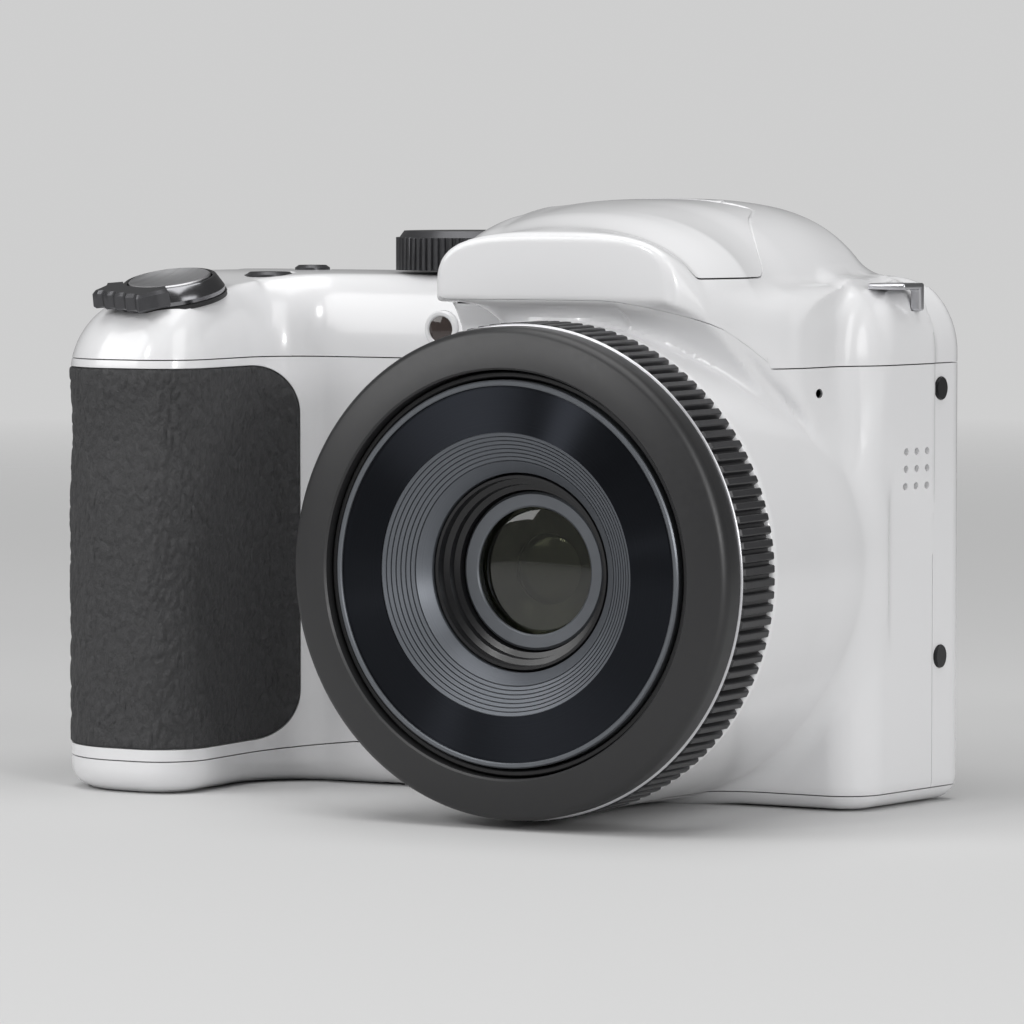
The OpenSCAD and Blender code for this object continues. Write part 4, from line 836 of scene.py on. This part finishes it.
def open_rear(rear):
    """Cuts the openings of the rear cover."""
    back = (0, 1, 0)
    carve(rear, soft_box("window", WINDOW_AT, WINDOW_SIZE, 1, 6, 20))
    carve(rear, soft_box("window", WINDOW_AT, LEDGE_SIZE, 2, BODY_REAR - 0.3, 20))
    for (x, z), r in BACK_BUTTONS:
        carve(rear, rod("hole", (x, 6, z), back, 12, r + BUTTON_GAP, 64))
    carve(rear, soft_box("rest", THUMB_AT, REST_SIZE, 4, BODY_REAR - 0.5, 20))
    for z in SIDE_SCREWS:
        carve(rear, rod("hole", (52, SIDE_SCREW_Y, z), (1, 0, 0), 9, PILOT_R, 24))
        carve(rear, rod("hole", (55.5, SIDE_SCREW_Y, z), (1, 0, 0), 4, SCREW_R + 0.1, 32))
    carve(rear, block("hole", (-60, FLAP_Y - 2, FLAP_Z - 5.6), (-56.2, FLAP_Y + 2, FLAP_Z + 5.6)))
    carve(rear, block("hole", (-60, FLAP_Y - 1.5, FLAP_Z - 4.2), (-52, FLAP_Y + 1.5, FLAP_Z + 4.2)))
    for r, half in ((0.65, 5.6), (0.3, 6.2)):
        carve(rear, rod("hole", (-56.45, FLAP_Y + 1.35, FLAP_Z - half), (0, 0, 1), 2 * half, r, 24))


def door_space(x, y, z):
    return np.maximum(plan_field(x, y, z * 0) + 2.15, np.abs(z - 1) - 3.4)


def open_bottom(bottom):
    """Cuts the battery door, the tripod bush and the screws out of the bottom cover."""
    door = field_mesh("door_zone", door_space, (-59, -40, -4), (59, 14, 6), 0.8)
    carve(door, block("zone", (-90, -90, -9), (-17.85, 90, 9)), "INTERSECT")
    carve(bottom, door)
    carve(bottom, rod("hole", (0, 0, -2), (0, 0, 1), 10, BUSH_R, 64))
    for x, y in BASE_SCREWS:
        carve(bottom, rod("hole", (x, y, -1), (0, 0, 1), 7, PILOT_R, 24))
        carve(bottom, rod("hole", (x, y, -1), (0, 0, 1), 1.9, SCREW_R + 0.1, 32))


def hinge_lid(lid):
    """Adds the lid's knuckle and the posts that carry the flash head."""
    back = [(-9.0, 78.2), (-5.85, 75.74), (-2.15, 80.47), (-5.3, 82.93)]
    carve(lid, rod("knuckle", (LENS_X - HINGE_HALF, HINGE_Y, HINGE_Z), (1, 0, 0), 2 * HINGE_HALF, 1.0, 32),
          "UNION")
    tab = [(HINGE_Y - 3.2, HINGE_Z - 0.9), (HINGE_Y, HINGE_Z - 0.9), (HINGE_Y, HINGE_Z + 0.7),
           (HINGE_Y - 3.2, HINGE_Z + 0.6)]
    carve(lid, prism("tab", tab, LENS_X - HINGE_HALF + 0.1, LENS_X + HINGE_HALF - 0.1, 0), "UNION")
    for x in (-8, 8):
        carve(lid, block("post", (LENS_X + x - 1, -27, 71.25), (LENS_X + x + 1, -19, 76.2)), "UNION")
    carve(lid, rod("pin", (LENS_X - 6, HINGE_Y, HINGE_Z), (1, 0, 0), 12, 0.55, 32))
    carve(lid, prism("clearance", back, -90, 90, 0))


def make_covers():
    outer = field_mesh("outer_form", outer_field, OUTER_LOW, OUTER_HIGH, GRID_STEP)
    inner = field_mesh("inner_form", outer_field, OUTER_LOW, OUTER_HIGH, 1.2, level=-WALL)
    bore = rod("lens_bore", (LENS_X, -45, LENS_Z), (0, 1, 0), 45, NECK_BORE, 128)

    front = copy_of(outer, "cover_front")
    carve(front, block("zone", (-90, -90, -5), (90, REAR_SEAM_Y - SEAM / 2, 100)), "INTERSECT")
    carve(front, above_seam("zone", -SEAM / 2))
    carve(front, prism("zone", below_seam(SEAM / 2), -90, 90, 1))
    carve(front, inner, keep=True)
    carve(front, bore, keep=True)
    open_front(front)

    top = copy_of(outer, "cover_top")
    carve(top, above_seam("zone", SEAM / 2), "INTERSECT")
    carve(top, prism("zone", lid_outline(0.2), -90, 90, 0))
    carve(top, inner, keep=True)
    carve(top, bore, keep=True)
    open_top(top)

    bottom = copy_of(outer, "cover_bottom")
    carve(bottom, prism("zone", below_seam(-SEAM / 2), -90, 90, 1), "INTERSECT")
    carve(bottom, inner, keep=True)

    lid = copy_of(outer, "lid_skin")
    carve(lid, prism("zone", lid_outline(0), -90, 90, 0), "INTERSECT")
    carve(lid, inner, keep=True)

    for obj in (outer, inner, bore):
        bpy.data.objects.remove(obj, do_unlink=True)
    open_bottom(bottom)
    hinge_lid(lid)
    finish_piece(front, "white_shell", "camera", ["front_cover"])
    finish_piece(top, "white_shell", "camera", ["top_cover"])
    finish_piece(bottom, "white_shell", "camera", ["bottom_cover"])
    finish_piece(lid, "white_shell", "flash", ["flash_lid"])


def make_rear():
    seam = REAR_SEAM_Y + SEAM / 2
    rear = field_mesh("cover_rear", body_field, OUTER_LOW, OUTER_HIGH, GRID_STEP)
    hollow = field_mesh("hollow", body_field, OUTER_LOW, OUTER_HIGH, 1.2, level=-WALL)
    carve(rear, block("zone", (-90, seam, -5), (90, 90, TOP_SEAM_Z - SEAM / 2)), "INTERSECT")
    carve(rear, prism("zone", below_seam(SEAM / 2), -90, 90, 1))
    carve(rear, hollow)
    open_rear(rear)
    finish_piece(rear, "white_shell", "camera", ["rear_cover"])


def make_lugs():
    lugs = None
    for low, high in lug_boxes():
        box = block("strap_strips", low, high)
        if lugs is None:
            lugs = box
        else:
            carve(lugs, box, "UNION")
    bevel = lugs.modifiers.new("bevel", "BEVEL")
    bevel.width = 0.3 * MM
    bevel.segments = 3
    graph = bpy.context.evaluated_depsgraph_get()
    mesh = bpy.data.meshes.new_from_object(lugs.evaluated_get(graph))
    lugs.modifiers.clear()
    lugs.data = mesh
    finish_piece(lugs, "steel", "camera", ["strap_lugs"])


def leather(points):
    """Presses fine upright wrinkles into the face of the rubber."""
    out = body_field(*points.T) > 0
    normals = gradient(body_field, points)
    normals /= np.maximum(np.linalg.norm(normals, axis=1), 1e-6)[:, None]
    for k in np.flatnonzero(out):
        p = Vector(points[k]) * WRINKLE_SCALE
        p.z *= 0.5
        bend = noise.noise_vector(p * 0.6) * 0.7
        near = noise.voronoi(p + bend)[0]
        crease = (1 - min((near[1] - near[0]) * 2.0, 1)) ** 1.5
        points[k] -= normals[k] * WRINKLE_DEPTH * crease
    return points


def make_rubber():
    step = 0.32
    noise.seed_set(GRAIN_SEED)
    grip = field_mesh("grip_leather", rubber_field, (-59, -40, 4), (-22, 3, 58), step, relief=leather)
    finish_piece(grip, "rubber_black", "camera", ["grip_rubber"], angle=60)


# The lens

def lens_part(name, profile, material, body, nodes=(), angle=28):
    finish_piece(turned(name, profile), material, body, nodes, angle)


def make_lens():
    r, f = RING_R, RING_FRONT
    lens_part("front_ring", [(RING_BORE, TRIM_FRONT), (RING_BORE, f - 0.25), (RING_BORE + 0.25, f),
                             (r - 0.95, f - 0.62), (r - 0.42, f - 0.95), (r - 0.1, f - 1.5),
                             (r, f - 2.1), (r, TRIM_FRONT)],
              "ring_grey", "camera", ["lens_ring"])
    lens_part("trim_line", [(BASE_BORE, KNURL_FRONT), (BASE_BORE, TRIM_FRONT), (r + 0.02, TRIM_FRONT),
                            (r + 0.2, TRIM_FRONT - 0.08), (r + 0.26, TRIM_FRONT - 0.2),
                            (r + 0.2, TRIM_FRONT - 0.32), (r + 0.02, KNURL_FRONT)],
              "bright_trim", "camera", ["trim_ring"], angle=50)
    knurl = make_knurl()
    finish_piece(knurl, "knurl_grey", "camera", ["knurl_ring"], angle=30)
    b = BARREL_R
    lens_part("barrel_outer", [(BARREL_BORE, BARREL_FRONT - 28), (BARREL_BORE, BARREL_FRONT - 0.15),
                               (BARREL_BORE + 0.15, BARREL_FRONT), (b - 0.15, BARREL_FRONT),
                               (b, BARREL_FRONT - 0.15), (b, BARREL_FRONT - 28)],
              "matt_black", "first_barrel", ["outer_barrel"])
    i = INNER_FRONT
    lens_part("barrel_inner", [(INNER_R - 0.7, i - 28), (INNER_R - 0.7, i - 0.12), (INNER_R - 0.55, i),
                               (INNER_R - 0.18, i), (INNER_R, i - 0.18), (INNER_R, i - 28)],
              "barrel_grey", "second_barrel", ["inner_barrel"])
    lens_part("spun_disc", [(PLATE_BORE, i + 0.1), (PLATE_R, i - 0.35), (PLATE_R, i - 2.2),
                            (PLATE_BORE, i - 2.2)],
              "spun_dark", "second_barrel", ["front_plate"])
    lens_part("groove_funnel", groove_profile(), "groove_grey", "second_barrel", ["grooved_ring"],
              20)
    c = CELL_R
    lens_part("cell_steps", [(c, i - 5.2), (c - 0.35, i - 4.1), (c - 0.72, i - 4.15), (c - 0.8, i - 5.4),
                             (c - 1.5, i - 5.7), (c - 1.6, i - 6.7), (c - 2.3, i - 7.0),
                             (c - 2.4, i - 14), (PLATE_R, i - 14), (PLATE_R, i - 12.5), (c, i - 11.5)],
              "cell_black", "second_barrel", ["lens_cell"], 20)
    lens_part("retaining_face", [(GLASS_R, i - 8.2), (GLASS_R, i - 7.9), (GLASS_R + 0.2, i - 7.75),
                                 (STEP_R - 0.4, i - 7.6), (STEP_R - 0.05, i - 7.9), (STEP_R, i - 9.6),
                                 (GLASS_R + 0.7, i - 9.6), (GLASS_R + 0.7, i - 8.2)],
              "barrel_grey", "second_barrel", ["retaining_ring"])


def make_glass():
    i = INNER_FRONT
    r = GLASS_R + 0.68
    dome = [(r * math.sin(a), i - 9.4 + 1.2 * math.cos(a)) for a in np.linspace(0, math.pi / 2, 12)]
    lens_part("front_glass", dome + [(r, i - 10.6), (0, i - 10.2)], "lens_glass", "second_barrel",
              ["front_lens"], angle=40)
    lens_part("inner_stop", [(4.6, i - 12.6), (4.4, i - 12.2), (5.2, i - 11.9), (r, i - 10.7), (r, i - 13),
                             (4.6, i - 13)], "cell_black", "second_barrel")
    inner = [(4.58 * math.sin(a), i - 13.4 + 1.1 * math.cos(a)) for a in np.linspace(0, math.pi / 2, 10)]
    lens_part("second_glass", inner + [(4.58, i - 14), (0, i - 14)], "glass_brown", "second_barrel",
              angle=40)


def groove_profile():
    """The funnel: a smooth land at the inner side and fine grooves outside it."""
    i = INNER_FRONT
    points = [(PLATE_BORE - 0.02, i - 2.1), (PLATE_BORE - 0.02, i - 0.1)]
    outer, inner, top, low = PLATE_BORE - 0.1, GROOVE_BORE + 1.5, i - 0.1, i - 2.4
    count = 7
    for k in range(count):
        a = outer + (inner - outer) * k / count
        b = outer + (inner - outer) * (k + 0.72) / count
        za, zb = top + (low - top) * k / count, top + (low - top) * (k + 0.72) / count
        points += [(a, za), (b, zb), (b - 0.03, zb - 0.3), (a + (inner - outer) * 0.94 / count, zb - 0.32)]
    points += [(inner, low), (GROOVE_BORE + 0.1, i - 3.75), (GROOVE_BORE, i - 3.9),
               (GROOVE_BORE, i - 5.2)]
    return points


def make_knurl():
    root, step = KNURL_R - 0.8, 2 * math.pi / KNURL_COUNT
    shape = ((0.02, root), (0.24, root), (0.34, KNURL_R - 0.12), (0.42, KNURL_R), (0.84, KNURL_R),
             (0.92, KNURL_R - 0.12))
    rings = []
    for front, fall in ((KNURL_FRONT, 0.3), (KNURL_FRONT - 0.3, 0), (KNURL_FRONT - KNURL_L + 0.3, 0),
                        (KNURL_FRONT - KNURL_L, 0.3)):
        ring = []
        for k in range(KNURL_COUNT):
            for at, r in shape:
                a = (k + at) * step
                ring.append((LENS_X + (r - fall) * math.cos(a), -front, LENS_Z + (r - fall) * math.sin(a)))
        rings.append(ring)
    knurl = loft("knurl_grip", rings)
    carve(knurl, rod("bore", (LENS_X, -60, LENS_Z), (0, 1, 0), 40, BASE_R + 0.02, 128))
    return knurl


# Controls

def make_shutter():
    profile = [(SHUTTER_R + 0.2, 0.2), (LEVER_R, 0.2), (LEVER_R, 0.7), (LEVER_R - 0.15, 0.95),
               (6.28, LEVER_H - 0.12), (6.1, LEVER_H), (SHUTTER_R + 0.35, LEVER_H),
               (SHUTTER_R + 0.2, LEVER_H - 0.15)]
    ring = turned("lever_ring", profile, (0, 0, 0), (0, 0, 1), 128)
    finish_piece(at_shutter(ring), "dark_chrome", "lever", ["zoom_lever"], angle=30)
    tab = at_shutter(make_tab())
    finish_piece(tab, "dark_metal", "lever", angle=30)
    dish = [(0, -3.5), (2.4, -3.5), (2.4, 1.2), (SHUTTER_R, 1.2), (SHUTTER_R, 2.45), (SHUTTER_R - 0.2, 2.6)]
    dish += [(r, 1.9 + 0.7 * (r / 5.3) ** 2) for r in (4.6, 3.8, 3, 2, 1)] + [(0, 1.9)]
    button = turned("shutter_cap", dish, (0, 0, 0), (0, 0, 1), 96)
    finish_piece(at_shutter(button), "brushed_top", "shutter", ["shutter_button"], angle=30)
    seat = turned("lever_seat", [(2.8, -0.5), (LEVER_R + 0.2, -0.5), (LEVER_R + 0.2, 0.1), (2.8, 0.1)],
                  (0, 0, 0), (0, 0, 1), 96)
    finish_piece(at_shutter(seat), "matt_black", "camera", ["shutter_seat"], angle=30)


def make_tab():
    """The lever's thumb tab, with four hollows between ridges on its outer face."""
    side = [(5.9, 6.1), (6.6, 5.5), (7.6, 5.05), (8.8, 4.75), (9.6, 4.6), (TAB_REACH - 0.25, 4.45)]
    outer = []
    for k in range(4):
        for t in np.linspace(0, 1, 9):
            w = 4.2 - 8.4 * (k + t) / 4
            outer.append((TAB_REACH - 0.1 - 0.55 * math.sin(math.pi * t) ** 0.7, w))
    inner = [(6.35 * math.cos(a), 6.35 * math.sin(a)) for a in np.linspace(-0.75, 0.75, 14)]
    plan = side + outer + [(x, -y) for x, y in side[::-1]] + inner
    rings = []
    for z, shrink in ((0.4, 0.3), (0.7, 0.0), (2.35, 0.05), (2.8, 0.5)):
        ring = []
        for x, y in plan:
            s = 1 - shrink / TAB_REACH if x > 6.5 else 1
            px, py = x * s, y * (1 - shrink / 9)
            ring.append((px * math.cos(TAB_TURN) - py * math.sin(TAB_TURN),
                         px * math.sin(TAB_TURN) + py * math.cos(TAB_TURN), z))
        rings.append(ring)
    return loft("lever_tab", rings)


def make_buttons():
    for name, at, r, node in (("power_cap", POWER_AT, POWER_R, "power_button"),
                              ("burst_cap", BURST_AT, BURST_R, "burst_button")):
        body = node.split("_")[0]
        dish = [(0, -3.2), (r + 0.6, -3.2), (r + 0.6, -2.5), (r, -2.5), (r, 0.35), (r - 0.5, 0.7)]
        dish += [(r * q, 0.45 + 0.22 * q * q) for q in (0.7, 0.5, 0.3)] + [(0, 0.45)]
        cap = turned(name, dish, (at[0], at[1], DECK_Z - (0.8 if body == "power" else 0.1)), (0, 0, 1), 72)
        finish_piece(cap, "dark_metal", body, [node], angle=30)


def make_lamp():
    x, z = LAMP_AT
    c = LAMP_COLLAR
    collar = turned("lamp_collar", [(LAMP_R, -3), (LAMP_R, 0.05), (LAMP_R + 0.15, 0.2), (c - 0.25, 0.2),
                                    (c - 0.03, 0.02), (c - 0.03, -3)], (x, -BODY_FRONT, z), (0, -1, 0), 72)
    finish_piece(collar, "white_shell", "camera", angle=30)
    lamp = turned("lamp_window", [(0, -3), (LAMP_R - 0.02, -3), (LAMP_R - 0.02, 0.02), (1.2, 0.14),
                                  (0.6, 0.2),
                                  (0, 0.22)], (x, -BODY_FRONT, z), (0, -1, 0), 72)
    finish_piece(lamp, "lamp_amber", "camera", ["focus_lamp"], angle=30)


# Camera, light and floor

VIEW_PLACE = (0.3769, -0.6938, 0.0848)
VIEW_LENS = 207.42
VIEW_TILT = 86.5
VIEW_TURN = 28.8


def aim_camera():
    data = bpy.data.cameras.new("view")
    data.sensor_width = 36.0
    data.lens = VIEW_LENS
    data.clip_start = 0.01
    data.clip_end = 20.0
    camera = add_object("view", data)
    camera.location = VIEW_PLACE
    camera.rotation_euler = (math.radians(VIEW_TILT), 0, math.radians(VIEW_TURN))
    SCENE.camera = camera


def area_light(name, place, width, height, power):
    data = bpy.data.lights.new(name, "AREA")
    data.shape = "RECTANGLE"
    data.size = width
    data.size_y = height
    data.energy = power
    light = add_object(name, data)
    light.location = place
    aim = Vector(LAMP_TARGET) - Vector(place)
    light.rotation_euler = aim.to_track_quat("-Z", "Y").to_euler()


BACKGROUND = 0.62
ROOM_STRENGTH = 0.22

# Each lamp's name, place, width, height and power
LAMPS = (("right", (0.95, -0.45, 0.5), 0.6, 0.9, 4.0),
         ("left", (-0.75, -0.75, 0.6), 0.7, 0.7, 5.1),
         ("above", (0.0, -0.1, 1.1), 1.0, 1.0, 8.0),
         ("streak", (0.85, -0.6, 0.24), 0.1, 0.1, 1.7),
         ("spot", (-0.22, -0.95, 0.58), 0.14, 0.14, 1.6))
LAMP_TARGET = (0, 0, 0.04)

# The floor's reach, and the distances between which it fades into the background
FLOOR_REACH = 3.0
FADE_START = 0.25
FADE_END = 1.1


def shown_only(tree, plain_color, strength_input):
    """A strength of one for rays that show the background, and its own for those that light."""
    path = tree.nodes.new("ShaderNodeLightPath")
    seen = tree.nodes.new("ShaderNodeMath")
    seen.operation = "MAXIMUM"
    tree.links.new(path.outputs["Is Camera Ray"], seen.inputs[0])
    tree.links.new(path.outputs["Is Transmission Ray"], seen.inputs[1])
    mix = tree.nodes.new("ShaderNodeMix")
    mix.inputs["A"].default_value = plain_color
    mix.inputs["B"].default_value = 1.0
    tree.links.new(seen.outputs[0], mix.inputs["Factor"])
    tree.links.new(mix.outputs["Result"], strength_input)


def light_scene():
    for name, place, width, height, power in LAMPS:
        area_light(name, place, width, height, power)
    world = bpy.data.worlds.new("room")
    world.use_nodes = True
    back = world.node_tree.nodes["Background"]
    back.inputs["Color"].default_value = (BACKGROUND, BACKGROUND, BACKGROUND, 1)
    shown_only(world.node_tree, ROOM_STRENGTH, back.inputs["Strength"])
    SCENE.world = world


def lay_floor():
    bm = bmesh.new()
    bmesh.ops.create_grid(bm, x_segments=2, y_segments=2, size=FLOOR_REACH)
    mesh = bpy.data.meshes.new("floor")
    bm.to_mesh(mesh)
    bm.free()
    floor = add_object("floor", mesh)
    floor.location = (0, 0, -0.0002)
    m = Nodes("floor")
    m.shade(m.noise(3), (BACKGROUND, BACKGROUND, BACKGROUND), (0.63, 0.63, 0.63))
    m.set(Roughness=0.8, Specular_IOR_Level=0.1)
    far = m.add("ShaderNodeVectorMath", operation="LENGTH")
    m.link(m.place, far.inputs[0])
    fade = m.spread(far.outputs["Value"], 0.0, 1.0, FADE_START, FADE_END)
    clear = m.add("ShaderNodeBsdfTransparent")
    mix = m.add("ShaderNodeMixShader")
    m.link(fade, mix.inputs["Fac"])
    m.link(m.shader.outputs["BSDF"], mix.inputs[1])
    m.link(clear.outputs["BSDF"], mix.inputs[2])
    m.link(mix.outputs["Shader"], m.tree.nodes["Material Output"].inputs["Surface"])
    mesh.materials.append(m.material)


aim_camera()
light_scene()
lay_floor()
dress_nodes()
make_covers()
make_rear()
make_lugs()
make_rubber()
make_lens()
make_glass()
make_shutter()
make_buttons()
make_lamp()

SCENE.view_settings.view_transform = "Standard"
